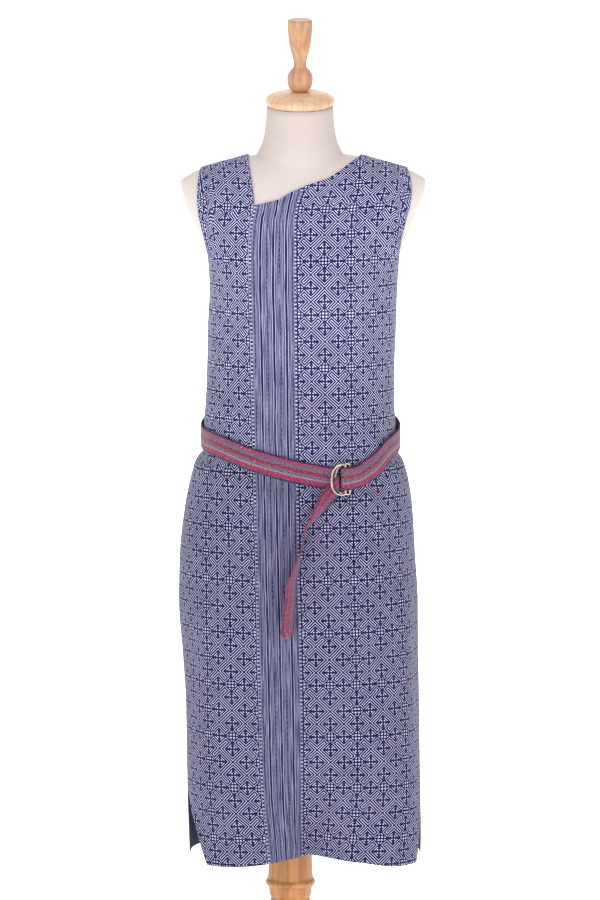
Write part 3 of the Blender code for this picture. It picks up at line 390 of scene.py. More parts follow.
def layOut(grid, face):
    # Where each point lies on the flat cloth: across from the middle of the
    # form and down from the armpit, both along the cloth
    x, y, z = grid[..., 0] - formMiddle, grid[..., 1], grid[..., 2]
    low = dressCut["lowRows"] + 1
    across, down = np.zeros(x.shape), flatCloth["zeroAt"] - z
    step = np.hypot(np.diff(x[:low], axis=1), np.diff(y[:low], axis=1))
    run = np.concatenate([np.zeros((low, 1)), np.cumsum(step, axis=1)], axis=1)
    for i in range(low):
        order = np.argsort(x[i])
        middle = 0.5 * run[i, -1] if face == "back" else np.interp(0.0, x[i][order], run[i][order])
        across[i] = (run[i] - middle) * (1.0 if x[i, -1] > x[i, 0] else -1.0)
    if face == "back":
        middle = np.array([np.interp(0.0, x[i, ::-1], across[i, ::-1]) for i in range(low)])
        across[:low] -= middle[:, None]
    steps = np.linspace(0.0, 1.0, 25)
    xs, zs = x[low:, :, None] * steps, z[low:, :, None]
    depth = depthAcross(xs, zs + 0.0 * steps, face)
    reach = np.hypot(np.diff(xs, axis=2), np.diff(depth, axis=2)).sum(axis=2)
    across[low:] = np.sign(x[low:]) * reach
    heights = mix(dressCut["armpit"], zs, np.sin(0.5 * np.pi * steps))
    depth = sectionDepth(dressSections, x[low:, :, None] + 0.0 * steps, heights, face,
                         shoulder["clothLift"])
    run = np.hypot(np.diff(heights, axis=2), np.diff(depth, axis=2)).sum(axis=2)
    down[low:] = flatCloth["zeroAt"] - dressCut["armpit"] - run
    return across, down


def newMesh(name, points, faces):
    mesh = bpy.data.meshes.new(name)
    mesh.from_pydata(points, [], faces)
    piece = bpy.data.objects.new(name, mesh)
    bpy.context.scene.collection.objects.link(piece)
    mesh.shade_smooth()
    return piece


def addMeasure(mesh, name, values):
    layer = mesh.attributes.new(name, "FLOAT", "POINT")
    layer.data.foreach_set("value", values.reshape(-1).astype(np.float32))


def rolledEdge(grid):
    # Neck and armholes end in a narrow rolled edge
    x, z = grid[..., 0] - formMiddle, grid[..., 2]
    rolled = np.zeros(x.shape)
    rolled[-1], rolled[:, 0], rolled[:, -1] = 1.0, 1.0, 1.0
    atSeam = (np.abs(x) < 0.070) & (z < dressCut["notchHeight"] - 0.002)
    rolled[(z < dressCut["armpit"] + 0.002) | atSeam] = 0.0
    return rolled


def layCloth(name, grid, flat, wall=dressCut["wall"], side=-1.0):
    # An open sheet through a grid of places, with its own flat measure as UV
    rows, columns = grid.shape[:2]
    mesh = bpy.data.meshes.new(name)
    number = np.arange(rows * columns).reshape(rows, columns)
    corners = np.stack([number[:-1, :-1], number[:-1, 1:],
                        number[1:, 1:], number[1:, :-1]], axis=-1).reshape(-1, 4)
    mesh.vertices.add(rows * columns)
    mesh.vertices.foreach_set("co", grid.reshape(-1).astype(np.float32))
    mesh.loops.add(corners.size)
    mesh.loops.foreach_set("vertex_index", corners.reshape(-1).astype(np.int32))
    mesh.polygons.add(len(corners))
    mesh.polygons.foreach_set("loop_start", np.arange(0, corners.size, 4, dtype=np.int32))
    mesh.polygons.foreach_set("loop_total", np.full(len(corners), 4, dtype=np.int32))
    mesh.update()
    mesh.validate()
    layer = mesh.uv_layers.new(name="flat")
    places = flat.reshape(-1, 2)[corners.reshape(-1)]
    layer.data.foreach_set("uv", places.reshape(-1).astype(np.float32))
    mesh.shade_smooth()
    piece = bpy.data.objects.new(name, mesh)
    bpy.context.scene.collection.objects.link(piece)
    thick = piece.modifiers.new("wall", "SOLIDIFY")
    thick.thickness = wall
    thick.offset = side
    return piece


def clothArea(grid):
    a, b = grid[1:, 1:] - grid[:-1, :-1], grid[1:, :-1] - grid[:-1, 1:]
    return 0.5 * float(np.linalg.norm(np.cross(a, b), axis=2).sum())


# Creases: face, start and end as (across, height), half width, depth
creases = {
    "front": [
        ((-0.128, 1.178), (-0.085, 1.128), 0.010, -0.0016),
        ((-0.132, 1.130), (-0.098, 1.100), 0.008, -0.0013),
        ((-0.135, 1.045), (-0.090, 1.025), 0.009, -0.0016),
        ((-0.136, 1.010), (-0.070, 0.992), 0.008, -0.0018),
        ((-0.045, 1.005), (-0.030, 0.962), 0.010, 0.0014),
        ((0.020, 1.010), (0.034, 0.950), 0.011, 0.0016),
        ((0.060, 1.004), (0.066, 0.958), 0.009, -0.0016),
        ((0.137, 1.060), (0.088, 1.028), 0.010, -0.0018),
        ((0.138, 1.026), (0.095, 0.990), 0.009, -0.0018),
        ((0.139, 1.185), (0.104, 1.140), 0.010, -0.0018),
        ((0.134, 1.146), (0.110, 1.112), 0.008, -0.0012),
        ((-0.150, 0.905), (-0.095, 0.880), 0.009, -0.0022),
        ((-0.160, 0.880), (-0.118, 0.858), 0.008, -0.0018),
        ((-0.060, 0.900), (-0.072, 0.820), 0.010, -0.0018),
        ((-0.020, 0.892), (-0.022, 0.800), 0.012, 0.0016),
        ((0.030, 0.884), (0.026, 0.815), 0.010, -0.0016),
        ((0.088, 0.890), (0.112, 0.815), 0.011, -0.0022),
        ((0.118, 0.915), (0.150, 0.850), 0.010, -0.0022),
        ((0.140, 0.935), (0.163, 0.890), 0.008, -0.0016),
        ((-0.150, 0.760), (-0.140, 0.560), 0.016, -0.0022),
        ((-0.100, 0.660), (-0.098, 0.430), 0.020, 0.0022),
        ((0.095, 0.700), (0.100, 0.470), 0.020, 0.0022),
        ((0.145, 0.740), (0.150, 0.520), 0.015, -0.0024),
        ((-0.150, 0.410), (-0.146, 0.312), 0.012, -0.0026),
        ((0.120, 0.420), (0.124, 0.312), 0.014, -0.0024),
        ((-0.135, 1.290), (-0.105, 1.225), 0.012, -0.0014),
        ((0.140, 1.300), (0.108, 1.232), 0.012, -0.0016),
        ((0.030, 1.300), (0.070, 1.262), 0.014, -0.0010),
    ],
    "back": [
        ((-0.128, 1.150), (-0.070, 1.085), 0.012, -0.0018),
        ((0.130, 1.140), (0.078, 1.080), 0.012, -0.0018),
        ((-0.130, 1.080), (-0.060, 1.050), 0.010, -0.0020),
        ((0.134, 1.090), (0.060, 1.046), 0.010, -0.0020),
        ((-0.030, 1.092), (-0.022, 1.034), 0.010, 0.0018),
        ((0.022, 1.096), (0.030, 1.036), 0.011, -0.0018),
        ((-0.075, 1.080), (-0.066, 1.030), 0.009, 0.0015),
        ((0.085, 1.082), (0.090, 1.022), 0.009, 0.0016),
        ((-0.050, 0.975), (-0.062, 0.880), 0.011, -0.0020),
        ((0.000, 0.980), (0.000, 0.860), 0.013, 0.0018),
        ((0.052, 0.972), (0.066, 0.882), 0.011, -0.0020),
        ((-0.105, 0.955), (-0.134, 0.880), 0.010, -0.0022),
        ((0.108, 0.955), (0.136, 0.876), 0.010, -0.0022),
        ((-0.090, 0.720), (-0.086, 0.400), 0.022, 0.0026),
        ((0.094, 0.690), (0.090, 0.380), 0.022, 0.0024),
        ((-0.045, 0.600), (-0.050, 0.330), 0.016, -0.0024),
        ((0.052, 0.620), (0.046, 0.340), 0.015, -0.0022),
        ((-0.140, 0.640), (-0.136, 0.420), 0.014, -0.0022),
        ((0.142, 0.660), (0.140, 0.430), 0.014, -0.0022),
        ((-0.120, 1.310), (-0.080, 1.240), 0.014, -0.0016),
        ((0.125, 1.310), (0.084, 1.236), 0.014, -0.0016),
    ],
}


def creaseGrid(grid, face):
    # Soft troughs and ridges along short runs, faded out at both ends
    x, z = grid[..., 0] - formMiddle, grid[..., 2]
    push = np.zeros(x.shape)
    for start, end, width, depth in creases[face]:
        run = np.array(end) - np.array(start)
        length = float(np.hypot(*run))
        along = ((x - start[0]) * run[0] + (z - start[1]) * run[1]) / length
        aside = ((x - start[0]) * run[1] - (z - start[1]) * run[0]) / length
        bend = aside - 0.12 * length * np.sin(np.pi * np.clip(along / length, 0, 1))
        rise = ease((along + 0.5 * width) / (0.35 * length))
        fall = ease((length - along + 0.5 * width) / (0.45 * length))
        push += depth * (rise * fall) * np.exp(-(bend / width) ** 2)
    edge = np.minimum(np.arange(x.shape[1]), np.arange(x.shape[1])[::-1]) / 6.0
    top = np.arange(x.shape[0])[::-1] / 8.0
    push *= ease(edge)[None, :] * ease(top)[:, None]
    down = np.gradient(grid, axis=0)
    along = np.gradient(grid, axis=1)
    normal = np.cross(along, down)
    normal /= np.maximum(np.linalg.norm(normal, axis=2, keepdims=True), 1e-9)
    return grid + normal * push[..., None]


def bandShareOf(grid):
    x, z = grid[..., 0] - formMiddle, grid[..., 2]
    left = readTable(dressCut["frontSeam"], "across", z)
    right = readTable(dressCut["bandRight"], "across", z)
    return (x - left) / (right - left)


def measuredFrom(grid, across, table, sign):
    # The field of the pattern starts at the band's border, on both sides
    x, z = grid[..., 0] - formMiddle, grid[..., 2]
    line = readTable(table, "across", z)
    border = np.empty(x.shape)
    for i in range(len(x)):
        order = np.argsort(x[i])
        start = np.interp(line[i], x[i][order], across[i][order])
        beyond = line[i] - np.clip(line[i], x[i].min(), x[i].max())
        border[i] = start + beyond
    return sign * (across - border)


def buildDress():
    # The narrow front runs from the band to its side, so it is turned to face out
    count = dressCut["columns"]
    left, right, back = (make(count[side]) for make, side in (
        (frontLeftGrid, "left"), (frontRightGrid, "right"), (backGrid, "back")))
    across, down = layOut(left, "front")
    field = measuredFrom(left, across, dressCut["bandRight"], 1.0)
    leftFlat = np.stack([field, -down], axis=-1)
    across, down = layOut(right, "front")
    field = measuredFrom(right, across, dressCut["frontSeam"], -1.0)
    rightFlat = np.stack([field, -down], axis=-1)[:, ::-1]
    across, down = layOut(back, "back")
    shift = flatCloth["backShift"] * flatCloth["columnPitch"]
    backFlat = np.stack([across + shift, -down], axis=-1)
    pieces = {}
    for side, name, grid, flat, face in (
            ("left", "dressLeftFront", left, leftFlat, "front"),
            ("right", "dressRightFront", right[:, ::-1], rightFlat, "front"),
            ("back", "dressBack", back, backFlat, "back")):
        shaped = creaseGrid(grid, face)
        pieces[side] = layCloth(name, shaped, flat)
        addMeasure(pieces[side].data, "rolledEdge", rolledEdge(shaped))
    addMeasure(pieces["left"].data, "bandShare", bandShareOf(left))
    areas = {"left": clothArea(left), "right": clothArea(right), "back": clothArea(back)}
    return pieces, areas


dressPieces, dressAreas = buildDress()
print("stage: three cloth pieces of the dress",
      {side: round(area, 4) for side, area in dressAreas.items()})


def srgb(red, green, blue):
    values = [c / 255.0 for c in (red, green, blue)]
    return (*(c / 12.92 if c <= 0.04045 else ((c + 0.055) / 1.055) ** 2.4 for c in values), 1.0)


def feed(tree, value, socket):
    # A number or a colour goes in the socket, and an output is linked to it
    if isinstance(value, (int, float, tuple)):
        socket.default_value = value
    else:
        tree.links.new(value, socket)


def setNumbers(node, **values):
    for name, value in values.items():
        node.inputs[name.replace("_", " ")].default_value = value


def calc(tree, operation, *values):
    node = tree.nodes.new("ShaderNodeMath")
    node.operation = operation
    for socket, value in zip(node.inputs, values):
        feed(tree, value, socket)
    return node.outputs[0]


def times(tree, first, second):
    return calc(tree, "MULTIPLY", first, second)


def splitUp(tree, vector):
    node = tree.nodes.new("ShaderNodeSeparateXYZ")
    tree.links.new(vector, node.inputs[0])
    return node.outputs


def measureOf(tree, name):
    node = tree.nodes.new("ShaderNodeAttribute")
    node.attribute_name = name
    return node.outputs["Fac"]


def tonesAlong(tree, share, stops):
    # A colour ramp through (place, colour)
    node = tree.nodes.new("ShaderNodeValToRGB")
    while len(node.color_ramp.elements) < len(stops):
        node.color_ramp.elements.new(0.5)
    for element, (place, tone) in zip(node.color_ramp.elements, stops):
        element.position, element.color = place, tone
    tree.links.new(share, node.inputs["Fac"])
    return node.outputs["Color"]


def soften(tree, value, low, high, start=0.0, end=1.0):
    node = tree.nodes.new("ShaderNodeMapRange")
    node.interpolation_type = "SMOOTHSTEP"
    tree.links.new(value, node.inputs["Value"])
    setNumbers(node, From_Min=low, From_Max=high, To_Min=start, To_Max=end)
    return node.outputs["Result"]


def blendColour(tree, share, first, second, kind="MIX"):
    node = tree.nodes.new("ShaderNodeMix")
    node.data_type = "RGBA"
    node.blend_type = kind
    for number, value in ((0, share), (6, first), (7, second)):
        feed(tree, value, node.inputs[number])
    return node.outputs[2]


def noise(tree, vector, scale, detail=2.0, rough=0.5, output="Fac"):
    node = tree.nodes.new("ShaderNodeTexNoise")
    tree.links.new(vector, node.inputs["Vector"])
    setNumbers(node, Scale=scale, Detail=detail, Roughness=rough)
    return node.outputs[output]


def stretched(tree, vector, x, y, z=1.0):
    node = tree.nodes.new("ShaderNodeVectorMath")
    node.operation = "MULTIPLY"
    tree.links.new(vector, node.inputs[0])
    node.inputs[1].default_value = (x, y, z)
    return node.outputs[0]


def newGroup(name, inputs, outputs):
    group = bpy.data.node_groups.new(name, "ShaderNodeTree")
    for title, kind, value in inputs:
        socket = group.interface.new_socket(title, in_out="INPUT", socket_type=kind)
        if value is not None:
            socket.default_value = value
    for title, kind in outputs:
        group.interface.new_socket(title, in_out="OUTPUT", socket_type=kind)
    start = group.nodes.new("NodeGroupInput")
    end = group.nodes.new("NodeGroupOutput")
    return group, start.outputs, end.inputs


def useGroup(tree, group, **values):
    node = tree.nodes.new("ShaderNodeGroup")
    node.node_tree = group
    for name, value in values.items():
        feed(tree, value, node.inputs[name])
    return node.outputs


def wovenGroup():
    # Crossing threads: a height for bump and a shade that runs a little uneven
    group, given, out = newGroup(
        "wovenThreads",
        [("Vector", "NodeSocketVector", None), ("Thread", "NodeSocketFloat", 0.0006),
         ("Slub", "NodeSocketFloat", 0.5)],
        [("Height", "NodeSocketFloat"), ("Shade", "NodeSocketFloat")])
    parts = splitUp(group, given["Vector"])
    turn = calc(group, "DIVIDE", math.pi, given["Thread"])
    across = calc(group, "SINE", times(group, parts["X"], turn))
    down = calc(group, "SINE", times(group, parts["Y"], turn))
    height = calc(group, "ADD", times(group, across, down), 1.0)
    group.links.new(times(group, height, 0.5), out["Height"])
    warp = noise(group, stretched(group, given["Vector"], 900.0, 30.0), 1.0, 1.0)
    weft = noise(group, stretched(group, given["Vector"], 30.0, 900.0), 1.0, 1.0)
    uneven = calc(group, "SUBTRACT", calc(group, "ADD", warp, weft), 1.0)
    group.links.new(calc(group, "MULTIPLY_ADD", uneven, given["Slub"], 0.5), out["Shade"])
    return group


def latticeGroup():
    # The wax-drawn lattice: diamonds in rows and columns, each with a dotted
    # flower, and lines drawn round them that meet and turn like a key pattern
    group, given, out = newGroup(
        "waxLattice",
        [("Vector", "NodeSocketVector", None),
         ("Column", "NodeSocketFloat", flatCloth["columnPitch"]),
         ("Row", "NodeSocketFloat", flatCloth["rowPitch"])],
        [("Wax", "NodeSocketFloat")])

    def work(operation, *values):
        return calc(group, operation, *values)

    def by(first, second):
        return times(group, first, second)

    def less(first, second):
        return calc(group, "SUBTRACT", first, second)

    columnMm, rowMm, middleMm, linePitchMm = 20.6, 20.17, 14.6, 3.3
    parts = splitUp(group, given["Vector"])
    across = less(work("DIVIDE", parts["X"], given["Column"]), 1.0)
    down = by(work("DIVIDE", parts["Y"], given["Row"]), -1.0)
    half = work("FLOOR", by(work("ADD", across, down), 0.5))
    other = work("FLOOR", by(less(across, down), 0.5))
    column = work("ADD", work("ADD", half, other), 1.0)
    row = less(half, other)
    x, y = less(across, column), less(down, row)
    isOdd = work("FLOORED_MODULO", column, 2.0)
    isEven = less(1.0, isOdd)
    nodeColumn = work("MULTIPLY_ADD", isEven, work("SIGN", x), column)
    nodeRow = work("MULTIPLY_ADD", isOdd, work("SIGN", y), row)
    dotted = work("MAXIMUM",
                  work("GREATER_THAN", work("FLOORED_MODULO", nodeColumn, 4.0), 2.0),
                  work("GREATER_THAN", work("FLOORED_MODULO", nodeRow, 4.0), 2.0))
    wide, high = work("ABSOLUTE", x), work("ABSOLUTE", y)
    lean = by(less(high, wide), less(isOdd, isEven))
    # Millimetres inward from a diamond's edge
    inner = by(less(less(1.0, wide), high), middleMm)
    depth = work("MAXIMUM", inner, by(by(lean, dotted), middleMm))
    # The inner lines are drawn broader than the outer ones
    waves = work("COSINE", by(depth, 2.0 * math.pi / linePitchMm))
    lines = soften(group, work("MULTIPLY_ADD", depth, 0.045, waves), -0.10, -0.52)

    def dots(first, second, pitch, low, high):
        one = work("COSINE", by(first, 2.0 * math.pi / pitch))
        two = work("COSINE", by(second, 2.0 * math.pi / pitch))
        both = by(less(1.0, one), less(1.0, two))
        return soften(group, by(both, 0.25), low, high)

    flower = dots(by(x, columnMm), by(y, rowMm), 4.7, 0.26, 0.62)
    seed = dots(by(less(across, nodeColumn), columnMm), by(less(down, nodeRow), rowMm),
                5.0, 0.06, 0.42)
    # The light ring round a flower is broken at its four corners
    ring = soften(group, work("ABSOLUTE", less(inner, 8.25)), 1.0, 0.6)
    ring = by(ring, soften(group, work("MINIMUM", wide, high), 0.075, 0.115))
    field = work("MAXIMUM", ring, by(seed, soften(group, inner, 7.5, 7.1)))
    field = mixValue(group, soften(group, inner, 9.0, 9.4), field, flower)
    wax = mixValue(group, soften(group, depth, 7.3, 7.7), lines, field)
    # Short dark strokes, one in every tile
    strokeX = work("ABSOLUTE", less(work("FLOORED_MODULO", across, 4.0), 3.0))
    strokeY = work("ABSOLUTE", less(work("FLOORED_MODULO", work("ADD", down, 2.0), 4.0), 3.0))
    stroke = by(soften(group, strokeX, 0.36, 0.28), soften(group, strokeY, 0.085, 0.05))
    wax = by(wax, less(1.0, stroke))
    group.links.new(wax, out["Wax"])
    return group


def mixValue(tree, share, first, second):
    rise = calc(tree, "SUBTRACT", second, first)
    return calc(tree, "MULTIPLY_ADD", rise, share, first)


def indigoGroup():
    # Wax marks to dyed cotton: the indigo pools unevenly, fine cracks run in
    # the wax, and the light marks keep a little blue
    group, given, out = newGroup(
        "indigoDye",
        [("Vector", "NodeSocketVector", None), ("Wax", "NodeSocketFloat", 0.0),
         ("Deep", "NodeSocketColor", (0.02, 0.02, 0.1, 1.0)),
         ("Pale", "NodeSocketColor", (0.6, 0.6, 0.8, 1.0))],
        [("Color", "NodeSocketColor")])
    cloud = noise(group, stretched(group, given["Vector"], 14.0, 9.0), 1.0, 3.0, 0.6)
    fine = noise(group, given["Vector"], 230.0, 1.0, 0.5)
    blotch = noise(group, stretched(group, given["Vector"], 60.0, 40.0), 1.0, 2.0)
    wax = times(group, given["Wax"], soften(group, fine, 0.25, 0.5, 0.86, 1.0))
    wax = times(group, wax, soften(group, blotch, 0.3, 0.7, 0.80, 1.0))
    bleed = calc(group, "ADD", soften(group, cloud, 0.35, 0.75, 0.0, 0.035),
                 soften(group, fine, 0.55, 0.85, 0.0, 0.05))
    wax = calc(group, "MAXIMUM", wax, bleed)
    group.links.new(blendColour(group, wax, given["Deep"], given["Pale"]), out["Color"])
    return group


groups = {"woven": wovenGroup(), "lattice": latticeGroup(), "indigo": indigoGroup()}


def newMaterial(name):
    shade = bpy.data.materials.new(name)
    shade.use_nodes = True
    return shade, shade.node_tree, shade.node_tree.nodes["Principled BSDF"]


def uvOf(tree, name="flat"):
    node = tree.nodes.new("ShaderNodeUVMap")
    node.uv_map = name
    return node.outputs["UV"]


def objectPlace(tree):
    return tree.nodes.new("ShaderNodeTexCoord").outputs["Object"]


def bumped(tree, shader, height, strength, distance):
    node = tree.nodes.new("ShaderNodeBump")
    setNumbers(node, Strength=strength, Distance=distance)
    tree.links.new(height, node.inputs["Height"])
    tree.links.new(node.outputs["Normal"], shader.inputs["Normal"])


batik = {
    "deep": srgb(24, 22, 82),
    "pale": srgb(214, 214, 246),
    "band": srgb(104, 104, 138),
    "bandDeep": srgb(30, 26, 84),
    "bandDim": srgb(58, 56, 104),
    "bandPale": srgb(176, 176, 210),
    "inside": srgb(40, 44, 76),
    "rim": srgb(172, 172, 194),
    "thread": 0.00062,
    "waver": 0.0011,
    "dashPitch": 0.0085,
    "beadPitch": 0.0061,
}


def batikMaterial(name, banded):
    shade, tree, shader = newMaterial(name)
    flat = uvOf(tree)
    # The hand-drawn lines waver a little
    drift = tree.nodes.new("ShaderNodeVectorMath")
    drift.operation = "MULTIPLY_ADD"
    wander = noise(tree, flat, 55.0, 2.0, 0.5, "Color")
    centred = tree.nodes.new("ShaderNodeVectorMath")
    centred.operation = "SUBTRACT"
    tree.links.new(wander, centred.inputs[0])
    centred.inputs[1].default_value = (0.5, 0.5, 0.5)
    tree.links.new(centred.outputs[0], drift.inputs[0])
    drift.inputs[1].default_value = (batik["waver"], batik["waver"], 0.0)
    tree.links.new(flat, drift.inputs[2])
    wax = useGroup(tree, groups["lattice"], Vector=drift.outputs[0])["Wax"]
    colour = useGroup(tree, groups["indigo"], Vector=flat, Wax=wax, Deep=batik["deep"],
                      Pale=batik["pale"])["Color"]
    if banded:
        colour = bandColour(tree, flat, colour)
    woven = useGroup(tree, groups["woven"], Vector=flat, Thread=batik["thread"], Slub=0.9)
    # The colour is scaled darker towards the skirt and lighter towards the top
    toneShift = soften(tree, splitUp(tree, objectPlace(tree))["Z"], 0.72, 1.42, 0.81, 1.28)
    threads = times(tree, soften(tree, woven["Shade"], 0.2, 0.8, 0.96, 1.03), toneShift)
    rise = useGroup(tree, groups["woven"], Vector=flat, Thread=batik["thread"], Slub=0.4)["Height"]
    tone = tree.nodes.new("ShaderNodeVectorMath")
    tone.operation = "SCALE"
    tree.links.new(colour, tone.inputs[0])
    tree.links.new(threads, tone.inputs["Scale"])
    edge = soften(tree, measureOf(tree, "rolledEdge"), 0.35, 0.8, 0.0, 0.8)
    colour = blendColour(tree, edge, tone.outputs[0], batik["rim"])
    tree.links.new(colour, shader.inputs["Base Color"])
    setNumbers(shader, Roughness=0.86, Specular_IOR_Level=0.25, Sheen_Weight=0.12,
               Sheen_Roughness=0.5)
    bumped(tree, shader, rise, 0.20, 0.00006)
    return shade


def bandColour(tree, flat, field):
    # Three dark lines with hairlines beside them and dashes half way between
    down = splitUp(tree, flat)["Y"]
    sway = noise(tree, stretched(tree, flat, 3.0, 14.0), 1.0, 1.0)
    s = calc(tree, "MULTIPLY_ADD", sway, 0.022, -0.011)
    s = calc(tree, "ADD", measureOf(tree, "bandShare"), s)
    turn = calc(tree, "DIVIDE", calc(tree, "SUBTRACT", s, 0.245), 0.265)
    near = calc(tree, "FRACT", calc(tree, "ADD", turn, 10.5))
    near = calc(tree, "ABSOLUTE", calc(tree, "SUBTRACT", near, 0.5))
    stops = [(0.000, "deep"), (0.072, "deep"), (0.092, "pale"), (0.135, "pale"), (0.155, "mid"),
             (0.185, "mid"), (0.205, "dim"), (0.225, "mid"), (0.255, "mid"), (0.270, "pale"),
             (0.290, "mid"), (0.355, "mid"), (0.372, "pale"), (0.395, "mid"), (0.450, "mid")]
    tones = {"deep": batik["bandDeep"], "pale": batik["bandPale"], "mid": batik["band"],
             "dim": batik["bandDim"]}
    lines = tonesAlong(tree, near, [(place, tones[tone]) for place, tone in stops])
    uneven = noise(tree, stretched(tree, flat, 40.0, 70.0), 1.0, 2.0)
    dash = times(tree, down, 2.0 * math.pi / batik["dashPitch"])
    dash = calc(tree, "SINE", calc(tree, "MULTIPLY_ADD", uneven, 9.0, dash))
    middle = times(tree, soften(tree, near, 0.462, 0.482), soften(tree, dash, -0.75, -0.1))
    colour = blendColour(tree, middle, lines, batik["bandDeep"])
    streak = noise(tree, stretched(tree, flat, 430.0, 22.0), 1.0, 3.0)
    light = soften(tree, streak, 0.52, 0.72, 0.0, 0.60)
    colour = blendColour(tree, light, colour, batik["bandPale"])
    dark = soften(tree, streak, 0.48, 0.32, 0.0, 0.62)
    colour = blendColour(tree, dark, colour, batik["bandDeep"])
    # Small dots stand in a column beside both borders
    edge = calc(tree, "MINIMUM", s, calc(tree, "SUBTRACT", 1.0, s))
    column = calc(tree, "ABSOLUTE", calc(tree, "SUBTRACT", edge, 0.035))
    column = soften(tree, column, 0.030, 0.018)
    column = times(tree, column, soften(tree, uneven, 0.35, 0.6, 0.30, 0.95))
    bead = calc(tree, "SINE", times(tree, down, 2.0 * math.pi / batik["beadPitch"]))
    for low, high, tone in ((0.0, 0.5, "bandDeep"), (-0.2, -0.7, "pale")):
        dot = times(tree, column, soften(tree, bead, low, high))
        colour = blendColour(tree, dot, colour, batik[tone])
    inBand = times(tree, soften(tree, s, 0.992, 0.984), soften(tree, s, -0.6, -0.5))
    return blendColour(tree, inBand, field, colour)


batikPlain = batikMaterial("batikCotton", False)
batikBanded = batikMaterial("batikCottonBanded", True)


def plainCotton(name, colour, toneShift):
    # The cloth's plain side, and the rolled edge where the dye is rubbed
    shade, tree, shader = newMaterial(name)
    flat = uvOf(tree)
    cloud = noise(tree, flat, 60.0, 3.0)
    woven = useGroup(tree, groups["woven"], Vector=flat, Thread=batik["thread"], Slub=0.9)
    share = times(tree, soften(tree, cloud, 0.3, 0.8), 0.6)
    share = calc(tree, "MULTIPLY_ADD", woven["Shade"], 0.3, share)
    tree.links.new(blendColour(tree, share, colour, toneShift), shader.inputs["Base Color"])
    setNumbers(shader, Roughness=0.9)
    bumped(tree, shader, woven["Height"], 0.2, 0.00006)
    return shade


cottonInside = plainCotton("cottonInside", batik["inside"], srgb(66, 70, 108))
cottonEdge = plainCotton("cottonEdge", batik["rim"], srgb(112, 112, 150))
for side, outside in (("left", batikBanded), ("right", batikPlain), ("back", batikPlain)):
    piece = dressPieces[side]
    for shade in (outside, cottonInside, cottonEdge):
        piece.data.materials.append(shade)
    piece.modifiers["wall"].material_offset = 1
    piece.modifiers["wall"].material_offset_rim = 2
print("stage: the dyed cotton")


beltFacts = {
    "width": 0.0345, "wall": 0.0015, "buckleAngle": 30.5, "wire": 0.0017,
    "ringHeight": 0.0461, "ringReach": 0.0225, "ringCorner": 0.0030, "ringSquare": 0.80,
    "ringStep": 0.0078, "ringDrop": 0.0012, "ringLean": 10.0, "rearLift": 0.0052,
    "frontLift": 0.0094, "foldRadius": 0.0051, "foldLift": 0.0021, "strapEnd": -0.0106,
    "freeStart": 0.0430, "tailSteps": 170,
    "sewnEnd": [(0.0240, 0.0020), (0.0180, 0.00205), (0.0120, 0.0021), (0.0060, 0.0021),
                (0.0015, 0.0021)],
    "overRings": [(0.0085, 0.0116), (0.0160, 0.0096), (0.0240, 0.0066), (0.0320, 0.0040),
                  (0.0430, 0.00135)],
}


def beltReach(angle):
    line = beltHeight(angle)
    half = 0.5 * beltFacts["width"]
    return np.maximum.reduce([dressRadius(angle, line + step) for step in (-half, 0.0, half)])


trailAngles = beltFacts["buckleAngle"] + np.arange(361)
trailReach = beltReach(trailAngles)
trailPlaces = np.stack([trailReach * np.sin(np.radians(trailAngles)),
                        -trailReach * np.cos(np.radians(trailAngles)), 0.0 * trailReach], axis=-1)
trailRuns = np.concatenate([[0.0], np.cumsum(np.linalg.norm(np.diff(trailPlaces, axis=0), axis=1))])


def beltPlace(along, lift):
    # A place on the belt's line with its angle, outward and width directions
    along = along % trailRuns[-1]
    i = max(int(np.searchsorted(trailRuns, along)) - 1, 0)
    share = (along - trailRuns[i]) / (trailRuns[i + 1] - trailRuns[i])
    around = [trailPlaces[(i + k) % 360] for k in (-3, -2, -1, 0, 1, 2, 3, 4)]
    before = around[4] - around[0] + around[3] - around[1]
    after = around[5] - around[1] + around[6] - around[2]
    tangent = Vector(before * (1 - share) + after * share).normalized()
    outward = Vector((tangent.y, -tangent.x, 0.0))
    angle = mix(float(trailAngles[i]), float(trailAngles[i + 1]), share)
    place = Vector(mix(trailPlaces[i], trailPlaces[i + 1], share)) + outward * lift
    rise = float(beltHeight(angle + 2.0) - beltHeight(angle - 2.0))
    run = Vector(trailPlaces[(i + 3) % 360] - trailPlaces[(i - 1) % 360]).length
    width = (Vector((0.0, 0.0, 1.0)) - tangent * rise / run).normalized()
    return Vector((place.x + formMiddle, place.y, float(beltHeight(angle)))), angle, outward, width


def beltRoute():
    middle = beltFacts["foldLift"] + beltFacts["foldRadius"]
    radius = beltFacts["foldRadius"]
    route = list(beltFacts["sewnEnd"])
    for turn in range(-72, 73, 12):
        side = math.radians(turn)
        route.append((-radius * math.cos(side), middle + radius * math.sin(side)))
    first = route[4][0]
    over = makeTable(("along", "lift"), [(first, middle + radius)] + beltFacts["overRings"])
    for along in np.linspace(first, 0.0415, 18):
        route.append((float(along), float(readTable(over, "lift", along, "along"))))
    start, end = beltFacts["freeStart"], float(trailRuns[-1]) + beltFacts["strapEnd"]
    for along in np.linspace(start, end, 250):
        angle = beltPlace(along, 0.0)[1]
        clearance = float(readTable(beltLine, "clearance", wrapped(angle), "angle"))
        route.append((float(along), clearance + 0.5 * beltFacts["wall"]))
    return route


